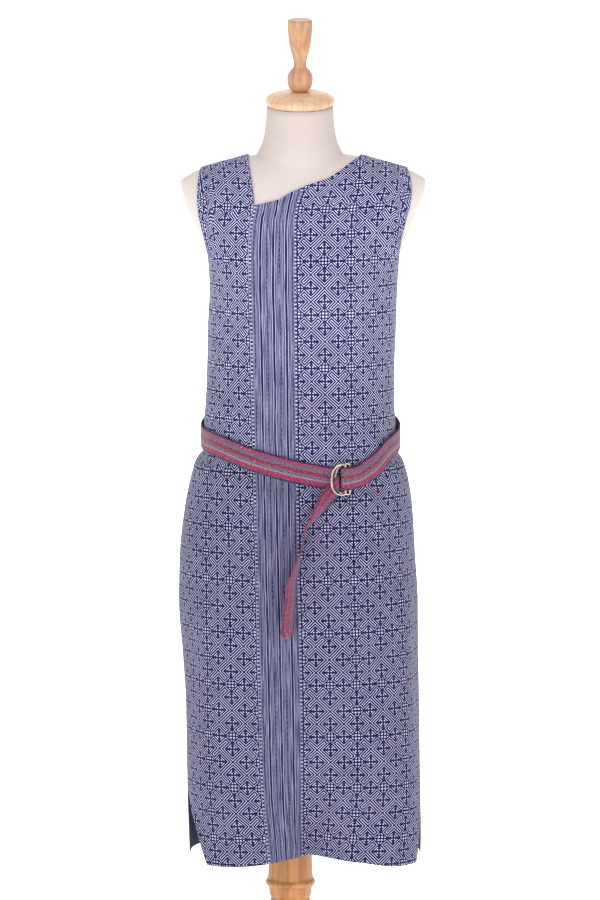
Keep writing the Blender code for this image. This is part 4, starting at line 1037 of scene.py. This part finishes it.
def ribbonPiece(name, stations, columns=14, crown=0.0003):
    # A woven band through stations of (place, half of its width, outward)
    shares = np.linspace(-1.0, 1.0, columns + 1)
    grid = np.array([[list(place + half * s + out * crown * (1.0 - s * s)) for s in shares]
                     for place, half, out in stations])
    steps = np.linalg.norm(np.diff(grid[:, columns // 2], axis=0), axis=1)
    runs = np.concatenate([[0.0], np.cumsum(steps)])
    flat = np.empty(grid.shape[:2] + (2,))
    flat[..., 0] = runs[:, None]
    flat[..., 1] = 0.5 + 0.5 * shares[None, :]
    return layCloth(name, grid, flat, wall=beltFacts["wall"], side=0.0), float(runs[-1])


def makeStrap():
    stations = []
    for along, lift in beltRoute():
        place, angle, outward, width = beltPlace(along, lift)
        ripple = 0.0004 * math.sin(angle * 0.21) * math.sin(angle * 0.083 + 1.0)
        half = width * (0.5 * beltFacts["width"] + ripple)
        stations.append((place, half, outward))
    return ribbonPiece("beltStrap", stations)


def buckleFrame():
    place, _, outward, _ = beltPlace(0.0, 0.0)
    place.z -= beltFacts["ringDrop"]
    return place, Vector((-outward.y, outward.x, 0.0)), outward, Vector((0.0, 0.0, 1.0))


# The free end, row by row: along, rise, lift, width, lean, twist
tailRows = [
    (-0.0092, -0.0040, 0.0009, 0.0200, 0.0, 0.0),
    (-0.0093, -0.0040, 0.0052, 0.0200, 0.0, 0.0),
    (-0.0108, -0.0055, 0.0080, 0.0210, 8.0, 0.0),
    (-0.0150, -0.0105, 0.0082, 0.0230, 24.0, 0.0),
    (-0.0190, -0.0185, 0.0084, 0.0240, 38.0, 0.0),
    (-0.0316, -0.0294, 0.0065, 0.0240, 47.0, 12.0),
    (-0.0440, -0.0450, 0.0046, 0.0240, 58.0, 38.0),
    (-0.0553, -0.0597, 0.0040, 0.0260, 66.0, 60.0),
    (-0.0643, -0.0719, 0.0038, 0.0290, 74.0, 71.0),
    (-0.0673, -0.0853, 0.0036, 0.0310, 82.0, 76.0),
    (-0.0718, -0.1023, 0.0034, 0.0320, 86.0, 78.0),
    (-0.0774, -0.1267, 0.0032, 0.0335, 88.0, 62.0),
    (-0.0860, -0.1587, 0.0030, 0.0345, 90.0, 53.0),
    (-0.0872, -0.1816, 0.0030, 0.0345, 90.0, 49.0),
    (-0.0900, -0.2045, 0.0032, 0.0345, 91.0, 45.0),
    (-0.0912, -0.2300, 0.0036, 0.0345, 92.0, 42.0),
]


def smoothRows(rows, count):
    # A smooth run through the rows, evenly spread between neighbouring rows
    rows = np.array(rows)
    places = np.linspace(0.0, len(rows) - 1.0, count)
    knots = np.arange(len(rows), dtype=float)
    return np.array([readTable({"at": knots, "value": column}, "value", places, "at")
                     for column in rows.T]).T


def tailStations(count):
    origin, sideways, outward, up = buckleFrame()
    stations = []
    for along, rise, lift, width, lean, twist in smoothRows(tailRows, count):
        place = origin + sideways * along + up * rise
        turn = float(angleAcross(place.x - formMiddle, place.z, "front"))
        skirt = -float(dressRadius(turn, place.z)) * math.cos(math.radians(turn))
        pastRings = float(ease((-rise - beltFacts["ringDrop"]) / (0.6 * beltFacts["ringHeight"])))
        out = pastRings * (skirt - place.y) / outward.y
        lean, twist = math.radians(lean), math.radians(twist)
        place = place + outward * (lift + out + 0.5 * width * math.sin(twist))
        half = (up * math.cos(lean) - sideways * math.sin(lean)) * math.cos(twist)
        half = half + outward * math.sin(twist)
        facing = (outward * math.cos(twist) - up * math.sin(twist) * math.cos(lean)).normalized()
        stations.append((place, half * 0.5 * width, facing))
    return stations


strap, strapLength = makeStrap()
tailRun = tailStations(beltFacts["tailSteps"])
tail, tailLength = ribbonPiece("beltTail", tailRun)
print("stage: the belt", round(strapLength, 4), round(tailLength, 4))


def stripedMaterial(name, stripes, fade):
    # Stripes run along the band; light and dark stitches fleck some of them
    shade, tree, shader = newMaterial(name)
    flat = uvOf(tree)
    waver = noise(tree, stretched(tree, flat, 40.0, 1.0), 1.0, 1.0)
    waver = calc(tree, "MULTIPLY_ADD", waver, 0.04, -0.02)
    share = calc(tree, "ADD", splitUp(tree, flat)["Y"], waver)
    colour = tonesAlong(tree, share, [(place, webbing[tone]) for place, tone in stripes])
    metres = stretched(tree, flat, 1.0, beltFacts["width"])
    fleck = noise(tree, stretched(tree, metres, 260.0, 900.0), 1.0, 1.0)
    thread = noise(tree, stretched(tree, metres, 60.0, 1900.0), 1.0, 1.0)
    toneShift = noise(tree, stretched(tree, metres, 18.0, 30.0), 1.0, 2.0)
    for mask, low, high, most, tone in (
            (fleck, 0.60, 0.72, 0.55, srgb(226, 190, 205)), (fleck, 0.44, 0.32, 0.75, srgb(46, 26, 60)),
            (thread, 0.50, 0.28, 0.50, srgb(66, 26, 58)), (toneShift, 0.35, 0.8, fade, srgb(176, 110, 140))):
        colour = blendColour(tree, soften(tree, mask, low, high, 0.0, most), colour, tone)
    tree.links.new(colour, shader.inputs["Base Color"])
    woven = useGroup(tree, groups["woven"], Vector=metres, Thread=0.0007, Slub=0.6)
    bumped(tree, shader, woven["Height"], 0.6, 0.0005)
    setNumbers(shader, Roughness=0.72, Specular_IOR_Level=0.3, Sheen_Weight=0.2)
    return shade


webbing = {
    "navy": srgb(36, 28, 70), "pink": srgb(164, 68, 112), "greyGreen": srgb(112, 108, 122),
    "darkRed": srgb(98, 22, 54), "raspberry": srgb(166, 36, 78), "grey": srgb(114, 106, 126),
    "paleLine": srgb(190, 150, 170), "redPink": srgb(160, 54, 94), "mauve": srgb(136, 84, 124),
    "plum": srgb(66, 28, 70),
}
strapStripes = [(0.00, "navy"), (0.05, "navy"), (0.08, "redPink"), (0.22, "redPink"), (0.25, "pink"),
                (0.33, "paleLine"), (0.36, "grey"), (0.47, "grey"), (0.50, "raspberry"),
                (0.60, "raspberry"), (0.62, "darkRed"), (0.65, "greyGreen"), (0.76, "greyGreen"),
                (0.79, "pink"), (0.91, "pink"), (0.95, "navy"), (1.00, "navy")]
tailStripes = [(0.00, "navy"), (0.08, "navy"), (0.12, "mauve"), (0.28, "mauve"), (0.32, "grey"),
               (0.42, "grey"), (0.45, "raspberry"), (0.66, "raspberry"), (0.69, "pink"),
               (0.80, "pink"), (0.83, "plum"), (0.94, "plum"), (0.97, "redPink"), (1.00, "redPink")]
strap.data.materials.append(stripedMaterial("beltWebbing", strapStripes, 0.18))
tail.data.materials.append(stripedMaterial("beltTailWebbing", tailStripes, 0.30))


def onlyActive(piece):
    bpy.ops.object.select_all(action="DESELECT")
    piece.select_set(True)
    bpy.context.view_layer.objects.active = piece


def ringOutline():
    half, corner = 0.5 * beltFacts["ringHeight"], beltFacts["ringCorner"]
    straight, square = half - corner, beltFacts["ringSquare"]
    points = [(0.0, mix(-straight, straight, i / 10.0)) for i in range(11)]
    for turn in range(9, 82, 9):
        side = math.radians(turn)
        points.append((-corner * (1.0 - math.cos(side)), straight + corner * math.sin(side)))
    for i in range(65):
        turn = math.radians(90.0 - 180.0 * i / 64.0)
        out = max(math.cos(turn), 0.0) ** square
        rise = math.copysign(abs(math.sin(turn)) ** square, math.sin(turn))
        points.append((-corner - (beltFacts["ringReach"] - corner) * out, half * rise))
    for turn in range(81, 8, -9):
        side = math.radians(turn)
        points.append((-corner * (1.0 - math.cos(side)), -straight - corner * math.sin(side)))
    return points


def makeRing(name, step, lift, lean):
    # Bent wire: a beveled curve round the D, made a mesh
    origin, sideways, outward, up = buckleFrame()
    curve = bpy.data.curves.new(name, "CURVE")
    curve.dimensions = "3D"
    curve.bevel_depth = beltFacts["wire"]
    curve.bevel_resolution = 6
    outline = ringOutline()
    spline = curve.splines.new("POLY")
    spline.points.add(len(outline) - 1)
    slope = math.tan(math.radians(lean))
    for point, (along, rise) in zip(spline.points, outline):
        place = origin + sideways * (along + step) + up * rise + outward * (lift - along * slope)
        point.co = (*place, 1.0)
    spline.use_cyclic_u = True
    ring = bpy.data.objects.new(name, curve)
    bpy.context.scene.collection.objects.link(ring)
    onlyActive(ring)
    bpy.ops.object.convert(target="MESH")
    ring = bpy.context.object
    ring.data.shade_smooth()
    return ring


def nickelMaterial():
    shade, tree, shader = newMaterial("nickelWire")
    place = objectPlace(tree)
    haze = noise(tree, place, 240.0, 3.0)
    tree.links.new(blendColour(tree, haze, srgb(226, 214, 196), srgb(196, 184, 168)),
                   shader.inputs["Base Color"])
    tree.links.new(soften(tree, haze, 0.3, 0.8, 0.16, 0.34), shader.inputs["Roughness"])
    setNumbers(shader, Metallic=1.0)
    scratch = noise(tree, stretched(tree, place, 900.0, 900.0, 90.0), 1.0, 2.0)
    bumped(tree, shader, scratch, 0.06, 0.0002)
    return shade


nickel = nickelMaterial()
ringFront = makeRing("beltRingFront", 0.0, beltFacts["frontLift"], beltFacts["ringLean"])
ringRear = makeRing("beltRingRear", beltFacts["ringStep"], beltFacts["rearLift"], 0.0)
ringFront.data.materials.append(nickel)
ringRear.data.materials.append(nickel)

fringeFacts = {"threads": 46, "length": 0.0115, "thick": 0.00042, "sides": 5, "steps": 5}


def makeFringe():
    # Frayed warp threads, each a thin tapering tube from the tail's cut end
    (before, _, _), (end, half, _) = tailRun[-4], tailRun[-1]
    down = (end - before).normalized()
    across = half.normalized()
    outward = down.cross(across).normalized()
    dice = np.random.default_rng(7)
    points, faces = [], []
    sides, steps = fringeFacts["sides"], fringeFacts["steps"]
    for number in range(fringeFacts["threads"]):
        share = -0.97 + 1.94 * number / (fringeFacts["threads"] - 1)
        length = fringeFacts["length"] * (0.62 + 0.38 * dice.random())
        sway, lift = 0.0022 * (dice.random() - 0.5), 0.0010 * (dice.random() - 0.5)
        layer = 0.0004 * (1 if number % 2 else -1)
        for i in range(steps + 1):
            t = i / steps
            middle = (end + half * share + down * (length * t - 0.0012) + across * sway * t * t
                      + outward * (layer + lift * t))
            thick = fringeFacts["thick"] * (1.0 - 0.55 * t)
            for k in range(sides):
                turn = 2.0 * math.pi * k / sides
                points.append(middle + across * thick * math.cos(turn)
                              + outward * thick * math.sin(turn))
        first = number * (steps + 1) * sides
        for i in range(steps):
            for k in range(sides):
                a, b = first + i * sides + k, first + i * sides + (k + 1) % sides
                faces.append((a, b, b + sides, a + sides))
        faces.append(tuple(first + k for k in range(sides))[::-1])
        faces.append(tuple(first + steps * sides + k for k in range(sides)))
    piece = newMesh("beltFringe", points, faces)
    onlyActive(piece)
    bpy.ops.object.mode_set(mode="EDIT")
    bpy.ops.mesh.select_all(action="SELECT")
    bpy.ops.mesh.normals_make_consistent(inside=False)
    bpy.ops.object.mode_set(mode="OBJECT")
    return piece


def fringeMaterial():
    shade, tree, shader = newMaterial("fringeThreads")
    place = objectPlace(tree)
    tint = noise(tree, stretched(tree, place, 500.0, 500.0, 60.0), 1.0, 1.0)
    colour = blendColour(tree, soften(tree, tint, 0.35, 0.5), srgb(92, 44, 84), srgb(186, 84, 122))
    colour = blendColour(tree, soften(tree, tint, 0.58, 0.7), colour, srgb(214, 176, 190))
    tree.links.new(colour, shader.inputs["Base Color"])
    twist = noise(tree, stretched(tree, place, 2600.0, 2600.0, 1300.0), 1.0, 1.0)
    bumped(tree, shader, twist, 0.5, 0.0002)
    setNumbers(shader, Roughness=0.85, Sheen_Weight=0.2)
    return shade


fringe = makeFringe()
fringe.data.materials.append(fringeMaterial())
print("stage: rings and fringe")

formFacts = {
    "neckTop": 1.4690, "neckTilt": 10.0, "capGap": 0.0003, "blend": 0.014, "sides": 144,
    "neck": makeTable(("height", "radius", "flare"), [
        (1.300, 0.0560, 0.0000), (1.380, 0.0575, 0.0100), (1.394, 0.0570, 0.0090),
        (1.402, 0.0565, 0.0065), (1.412, 0.0560, 0.0020), (1.430, 0.0540, 0.0000),
        (1.450, 0.0518, 0.0000), (1.480, 0.0510, 0.0000)]),
    "levels": [(0.690, 0.706, 3), (0.706, 1.260, 46), (1.260, 1.345, 14), (1.345, 1.412, 40),
               (1.412, 1.452, 10)],
}


def formRadius(angle, z):
    across, forward = np.sin(np.radians(angle)), np.abs(np.cos(np.radians(angle)))
    front = np.cos(np.radians(angle)) >= 0
    near, far = np.zeros(angle.shape), sectionRadius(formSections, angle, z)
    for _ in range(26):
        middle = 0.5 * (near + far)
        depth = np.where(front, sectionDepth(formSections, middle * across, z, "front", 0.0),
                         sectionDepth(formSections, middle * across, z, "back", 0.0))
        inside = depth > middle * forward + 1e-7
        near, far = np.where(inside, middle, near), np.where(inside, far, middle)
    neck = readTable(formFacts["neck"], "radius", z)
    neck = neck + readTable(formFacts["neck"], "flare", z) * across ** 6
    overlap = np.maximum(formFacts["blend"] - np.abs(near - neck), 0.0)
    return np.maximum(near, neck) + overlap ** 2 / (4.0 * formFacts["blend"])


def makeForm():
    sides = formFacts["sides"]
    heights = [0.690]
    for low, high, count in formFacts["levels"]:
        heights += list(np.linspace(low, high, count + 1)[1:])
    heights += [formFacts["neckTop"]]
    rings = []
    for number, z in enumerate(heights):
        level = np.full(sides, z)
        aspect = formRadius(np.array([90.0]), level[:1]) / formRadius(np.array([0.0]), level[:1])
        even = 2.0 * np.pi * np.arange(sides) / sides
        angle = np.degrees(np.arctan2(aspect * np.sin(even), np.cos(even)))
        reach = formRadius(angle, level)
        x, y = reach * np.sin(np.radians(angle)), -reach * np.cos(np.radians(angle))
        tilt = math.tan(math.radians(formFacts["neckTilt"])) if number == len(heights) - 1 else 0.0
        rings.append(np.stack([x + formMiddle, y, z + y * tilt], axis=-1))
    # Both flat ends are drawn together in three rings
    foot, top = rings[0], rings[-1]
    rings = ([mix(foot, foot.mean(axis=0), share) for share in (0.96, 0.5, 0.04)] + rings
             + [mix(top, top.mean(axis=0), share) for share in (0.03, 0.4, 0.95)])
    points = np.concatenate(rings)
    faces = []
    for i in range(len(rings) - 1):
        for k in range(sides):
            a, b = i * sides + k, i * sides + (k + 1) % sides
            faces.append((a, b, b + sides, a + sides))
    faces.append(tuple(range(sides))[::-1])
    faces.append(tuple(range((len(rings) - 1) * sides, len(rings) * sides)))
    return newMesh("formTorso", [tuple(p) for p in points], faces)


def jerseyMaterial():
    shade, tree, shader = newMaterial("linenJersey")
    place = objectPlace(tree)
    knit = tree.nodes.new("ShaderNodeTexWave")
    knit.wave_type = "BANDS"
    knit.bands_direction = "Z"
    tree.links.new(place, knit.inputs["Vector"])
    setNumbers(knit, Scale=260.0, Distortion=1.2, Detail=1.0, Detail_Scale=3.0)
    cloud = noise(tree, place, 9.0, 3.0)
    fibre = noise(tree, stretched(tree, place, 500.0, 500.0, 1400.0), 1.0, 1.0)
    colour = blendColour(tree, cloud, srgb(250, 238, 234), srgb(244, 230, 226))
    fluff = soften(tree, fibre, 0.3, 0.7, 0.0, 0.25)
    colour = blendColour(tree, fluff, colour, srgb(234, 218, 212))
    # The colour turns a little greyer and darker from the top of the shoulders up the neck
    greyed = soften(tree, splitUp(tree, place)["Z"], 1.34, 1.43, 0.0, 0.80)
    colour = blendColour(tree, greyed, colour, srgb(226, 208, 203))
    tree.links.new(colour, shader.inputs["Base Color"])
    setNumbers(shader, Roughness=0.9, Sheen_Weight=0.25)
    # Faint pulls of the jersey run out from the foot of the neck
    pull = noise(tree, stretched(tree, place, 60.0, 60.0, 160.0), 1.0, 2.0)
    height = times(tree, knit.outputs["Fac"], 0.12)
    height = calc(tree, "ADD", height, times(tree, pull, 0.5))
    bumped(tree, shader, height, 0.5, 0.0008)
    return shade


form = makeForm()
form.data.materials.append(jerseyMaterial())
print("stage: the form")


def turnPiece(name, rows, sides, tilt=0.0, foot=(0.0, 0.0, 0.0)):
    # Turned wood: a disc drawn out along its profile, from its foot up
    rows = sorted(rows)
    bpy.ops.object.select_all(action="DESELECT")
    bpy.ops.mesh.primitive_circle_add(vertices=sides, radius=rows[0][1], fill_type="NGON",
                                      location=(0.0, 0.0, rows[0][0]))
    piece = bpy.context.object
    piece.name = name
    bpy.ops.object.transform_apply(location=True, rotation=True, scale=True)
    bpy.ops.object.mode_set(mode="EDIT")
    bpy.ops.mesh.select_all(action="SELECT")
    for (low, wide), (high, narrow) in zip(rows, rows[1:]):
        bpy.ops.mesh.extrude_region_move(TRANSFORM_OT_translate={"value": (0.0, 0.0, high - low)})
        grow = narrow / wide
        bpy.ops.transform.resize(value=(grow, grow, 1.0), center_override=(0.0, 0.0, high))
    bpy.ops.mesh.inset(thickness=0.25 * rows[-1][1])
    bpy.ops.mesh.select_all(action="SELECT")
    bpy.ops.mesh.normals_make_consistent(inside=False)
    bpy.ops.object.mode_set(mode="OBJECT")
    piece.rotation_euler = (math.radians(tilt), 0.0, 0.0)
    piece.location = foot
    bpy.ops.object.transform_apply(location=True, rotation=True, scale=True)
    bpy.ops.object.shade_smooth_by_angle(angle=math.radians(32.0))
    return piece


def finerRows(rows, step):
    # More rings on the same profile, so that its curves read as turned
    rows = sorted(rows)
    table = makeTable(("height", "radius"), rows)
    heights = []
    for (low, _), (high, _) in zip(rows, rows[1:]):
        count = max(int(round((high - low) / step)), 1)
        heights += list(np.linspace(low, high, count + 1)[:-1])
    heights.append(rows[-1][0])
    return [(float(z), float(readTable(table, "radius", z))) for z in heights]


turned = {
    "column": [
        (0.4200, 0.0190), (0.4120, 0.0225), (0.3850, 0.0290), (0.3400, 0.0330), (0.3000, 0.0335),
        (0.2750, 0.0345), (0.2685, 0.0353), (0.2655, 0.0375), (0.2620, 0.0384), (0.2585, 0.0375),
        (0.2550, 0.0336), (0.2460, 0.0328), (0.2400, 0.0315), (0.2385, 0.0298), (0.2365, 0.0298),
        (0.2350, 0.0312), (0.1500, 0.0300), (0.0700, 0.0306), (0.0480, 0.0345), (0.0360, 0.0395),
        (0.0243, 0.0400)],
    "base": [
        (0.0240, 0.060), (0.0225, 0.150), (0.0190, 0.195), (0.0145, 0.209), (0.0085, 0.2150),
        (0.0035, 0.2150), (0.0000, 0.2115)],
    "cap": [
        (0.0215, 0.0120), (0.0210, 0.0230), (0.0190, 0.0350), (0.0160, 0.0450), (0.0120, 0.0515),
        (0.0080, 0.0535), (0.0040, 0.0525), (0.0010, 0.0505), (0.0000, 0.0490)],
    "finial": [
        (0.1320, 0.0165), (0.1305, 0.0186), (0.1280, 0.0193), (0.1180, 0.0189), (0.1050, 0.0178),
        (0.0930, 0.0162), (0.0830, 0.0140), (0.0740, 0.0113), (0.0670, 0.0099), (0.0600, 0.0101),
        (0.0565, 0.0122), (0.0530, 0.0157), (0.0475, 0.0186), (0.0410, 0.0197), (0.0345, 0.0192),
        (0.0280, 0.0170), (0.0240, 0.0140), (0.0218, 0.0105)],
}


def grainGroup():
    # Long streaks of the grain with pores, and faint rings from the turning
    group, given, out = newGroup(
        "turnedGrain",
        [("Vector", "NodeSocketVector", None), ("Dark", "NodeSocketColor", (0.4, 0.2, 0.1, 1.0)),
         ("Light", "NodeSocketColor", (0.7, 0.5, 0.3, 1.0))],
        [("Color", "NodeSocketColor"), ("Height", "NodeSocketFloat"),
         ("Roughness", "NodeSocketFloat")])
    streak = noise(group, stretched(group, given["Vector"], 140.0, 140.0, 7.0), 1.0, 4.0, 0.6)
    broad = noise(group, stretched(group, given["Vector"], 30.0, 30.0, 2.5), 1.0, 2.0)
    pore = noise(group, stretched(group, given["Vector"], 1300.0, 1300.0, 60.0), 1.0, 1.0)
    share = calc(group, "MULTIPLY_ADD", broad, 0.5, times(group, streak, 0.5))
    colour = blendColour(group, soften(group, share, 0.38, 0.62), given["Dark"], given["Light"])
    colour = blendColour(group, soften(group, pore, 0.62, 0.75, 0.0, 0.35), colour, given["Dark"])
    group.links.new(colour, out["Color"])
    lathe = noise(group, stretched(group, given["Vector"], 8.0, 8.0, 1100.0), 1.0, 1.0)
    group.links.new(calc(group, "MULTIPLY_ADD", lathe, 0.4, pore), out["Height"])
    group.links.new(soften(group, streak, 0.3, 0.7, 0.36, 0.52), out["Roughness"])
    return group


groups["grain"] = grainGroup()


def woodMaterial(name, dark, light):
    shade, tree, shader = newMaterial(name)
    grain = useGroup(tree, groups["grain"], Vector=objectPlace(tree), Dark=dark, Light=light)
    tree.links.new(grain["Color"], shader.inputs["Base Color"])
    tree.links.new(grain["Roughness"], shader.inputs["Roughness"])
    bumped(tree, shader, grain["Height"], 0.18, 0.0004)
    setNumbers(shader, Coat_Weight=0.12, Coat_Roughness=0.3)
    return shade


paleBeech = woodMaterial("paleBeech", srgb(240, 186, 146), srgb(255, 222, 186))
finialBeech = woodMaterial("finialBeech", srgb(200, 144, 104), srgb(228, 180, 142))
oiledBeech = woodMaterial("oiledBeech", srgb(178, 116, 64), srgb(226, 162, 102))
neckLean = math.radians(formFacts["neckTilt"])
neckFoot = (formMiddle, -formFacts["capGap"] * math.sin(neckLean),
            formFacts["neckTop"] + formFacts["capGap"] * math.cos(neckLean))
cap = turnPiece("formCap", finerRows(turned["cap"], 0.0006), 96, formFacts["neckTilt"], neckFoot)
finial = turnPiece("formFinial", finerRows(turned["finial"], 0.0012), 72, formFacts["neckTilt"],
                   neckFoot)
column = turnPiece("standColumn", finerRows(turned["column"], 0.0020), 72)
base = turnPiece("standBase", finerRows(turned["base"], 0.0010), 128)
for piece, wood in ((cap, paleBeech), (finial, finialBeech), (column, oiledBeech), (base, oiledBeech)):
    piece.data.materials.clear()
    piece.data.materials.append(wood)
pole = bpy.data.objects["stand_pole"]
pole.data.materials.clear()
pole.data.materials.append(oiledBeech)
print("stage: turned wood")

# Each piece is attached to the root, and the CAD node that it stands for is hidden
for piece, node, slot in (
        (dressPieces["left"], "dress_front_left", "batik_cotton_left"),
        (dressPieces["right"], "dress_front_right", "batik_cotton_right"),
        (dressPieces["back"], "dress_back", "batik_cotton_back"),
        (strap, "belt_strap", "belt_strap_webbing"), (tail, "belt_tail", "belt_tail_webbing"),
        (fringe, "belt_fringe", "belt_fringe_threads"),
        (ringFront, "belt_ring_front", "nickel_wire_front"),
        (ringRear, "belt_ring_rear", "nickel_wire_rear"), (form, "form_torso", "linen_jersey"),
        (cap, "form_cap", "pale_beech_cap"), (finial, "form_finial", "pale_beech_finial"),
        (column, "stand_column", "oiled_beech_column"), (base, "stand_base", "oiled_beech_base")):
    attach(piece, "root")
    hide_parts(node)


# A pale floor that runs up behind, and soft light from both sides
stageFacts = {
    "floor": 20.0, "near": -12.0, "wallAt": 11.0, "bend": 3.0, "wall": 12.0,
    "colour": srgb(252, 252, 252), "glow": 0.72, "room": 0.33,
    # Name, place, aim, size and power
    "lights": [
        ("keyLeft", (-2.6, -4.2, 2.8), (0.0, 0.0, 0.95), (2.2, 2.6), 51.0),
        ("keyRight", (2.6, -4.2, 2.6), (0.0, 0.0, 0.95), (2.2, 2.6), 44.0),
        ("topSoft", (0.0, -0.6, 4.2), (0.0, 0.0, 1.0), (3.0, 3.0), 24.0),
        ("backdropGlow", (0.0, 6.4, 5.2), (0.0, 11.0, 2.0), (7.0, 1.6), 260.0),
    ],
    "cameraAt": (0.015, -5.9553, 1.6712), "lookAt": (0.015, 0.0, 0.94), "lens": 155.84,
}


def makeBackdrop():
    bend, wallAt = stageFacts["bend"], stageFacts["wallAt"]
    profile = [(stageFacts["near"], 0.0), (wallAt - bend, 0.0)]
    for i in range(1, 25):
        turn = math.radians(90.0 * i / 24)
        profile.append((wallAt - bend + bend * math.sin(turn), bend * (1.0 - math.cos(turn))))
    profile.append((wallAt, stageFacts["wall"]))
    wide = stageFacts["floor"]
    points = [(x, y, z) for y, z in profile for x in (-wide, wide)]
    faces = [(2 * i, 2 * i + 1, 2 * i + 3, 2 * i + 2) for i in range(len(profile) - 1)]
    floor = newMesh("paleFloor", points, faces)
    shade, tree, shader = newMaterial("palePaper")
    grain = noise(tree, objectPlace(tree), 60.0, 2.0)
    colour = blendColour(tree, grain, stageFacts["colour"], srgb(250, 250, 250))
    tree.links.new(colour, shader.inputs["Base Color"])
    setNumbers(shader, Roughness=0.95, Specular_IOR_Level=0.1,
               Emission_Color=(1.0, 1.0, 1.0, 1.0), Emission_Strength=stageFacts["glow"])
    floor.data.materials.append(shade)


def turnTo(place, target):
    return (Vector(target) - Vector(place)).to_track_quat("-Z", "Y").to_euler()


def addLight(name, place, target, size, power):
    light = bpy.data.lights.new(name, "AREA")
    light.shape = "RECTANGLE"
    light.size, light.size_y = size
    light.energy = power
    lamp = bpy.data.objects.new(name, light)
    bpy.context.scene.collection.objects.link(lamp)
    lamp.location = place
    lamp.rotation_euler = turnTo(place, target)


makeBackdrop()
for light in stageFacts["lights"]:
    addLight(*light)
world = bpy.data.worlds.new("paleRoom")
bpy.context.scene.world = world
world.use_nodes = True
setNumbers(world.node_tree.nodes["Background"], Color=(1.0, 1.0, 1.0, 1.0),
           Strength=stageFacts["room"])
bpy.context.scene.view_settings.view_transform = "Standard"
# The drawn pattern stays crisp
bpy.context.scene.cycles.denoising_prefilter = "NONE"
bpy.context.scene.cycles.filter_width = 1.2

# The camera stands 6 m off and 7 degrees up, on a long lens
cameraData = bpy.data.cameras.new("studioCamera")
cameraData.sensor_width = 36.0
cameraData.lens = stageFacts["lens"]
camera = bpy.data.objects.new("studioCamera", cameraData)
bpy.context.scene.collection.objects.link(camera)
camera.location = stageFacts["cameraAt"]
camera.rotation_euler = turnTo(stageFacts["cameraAt"], stageFacts["lookAt"])
bpy.context.scene.camera = camera
print("stage: floor, light and camera")
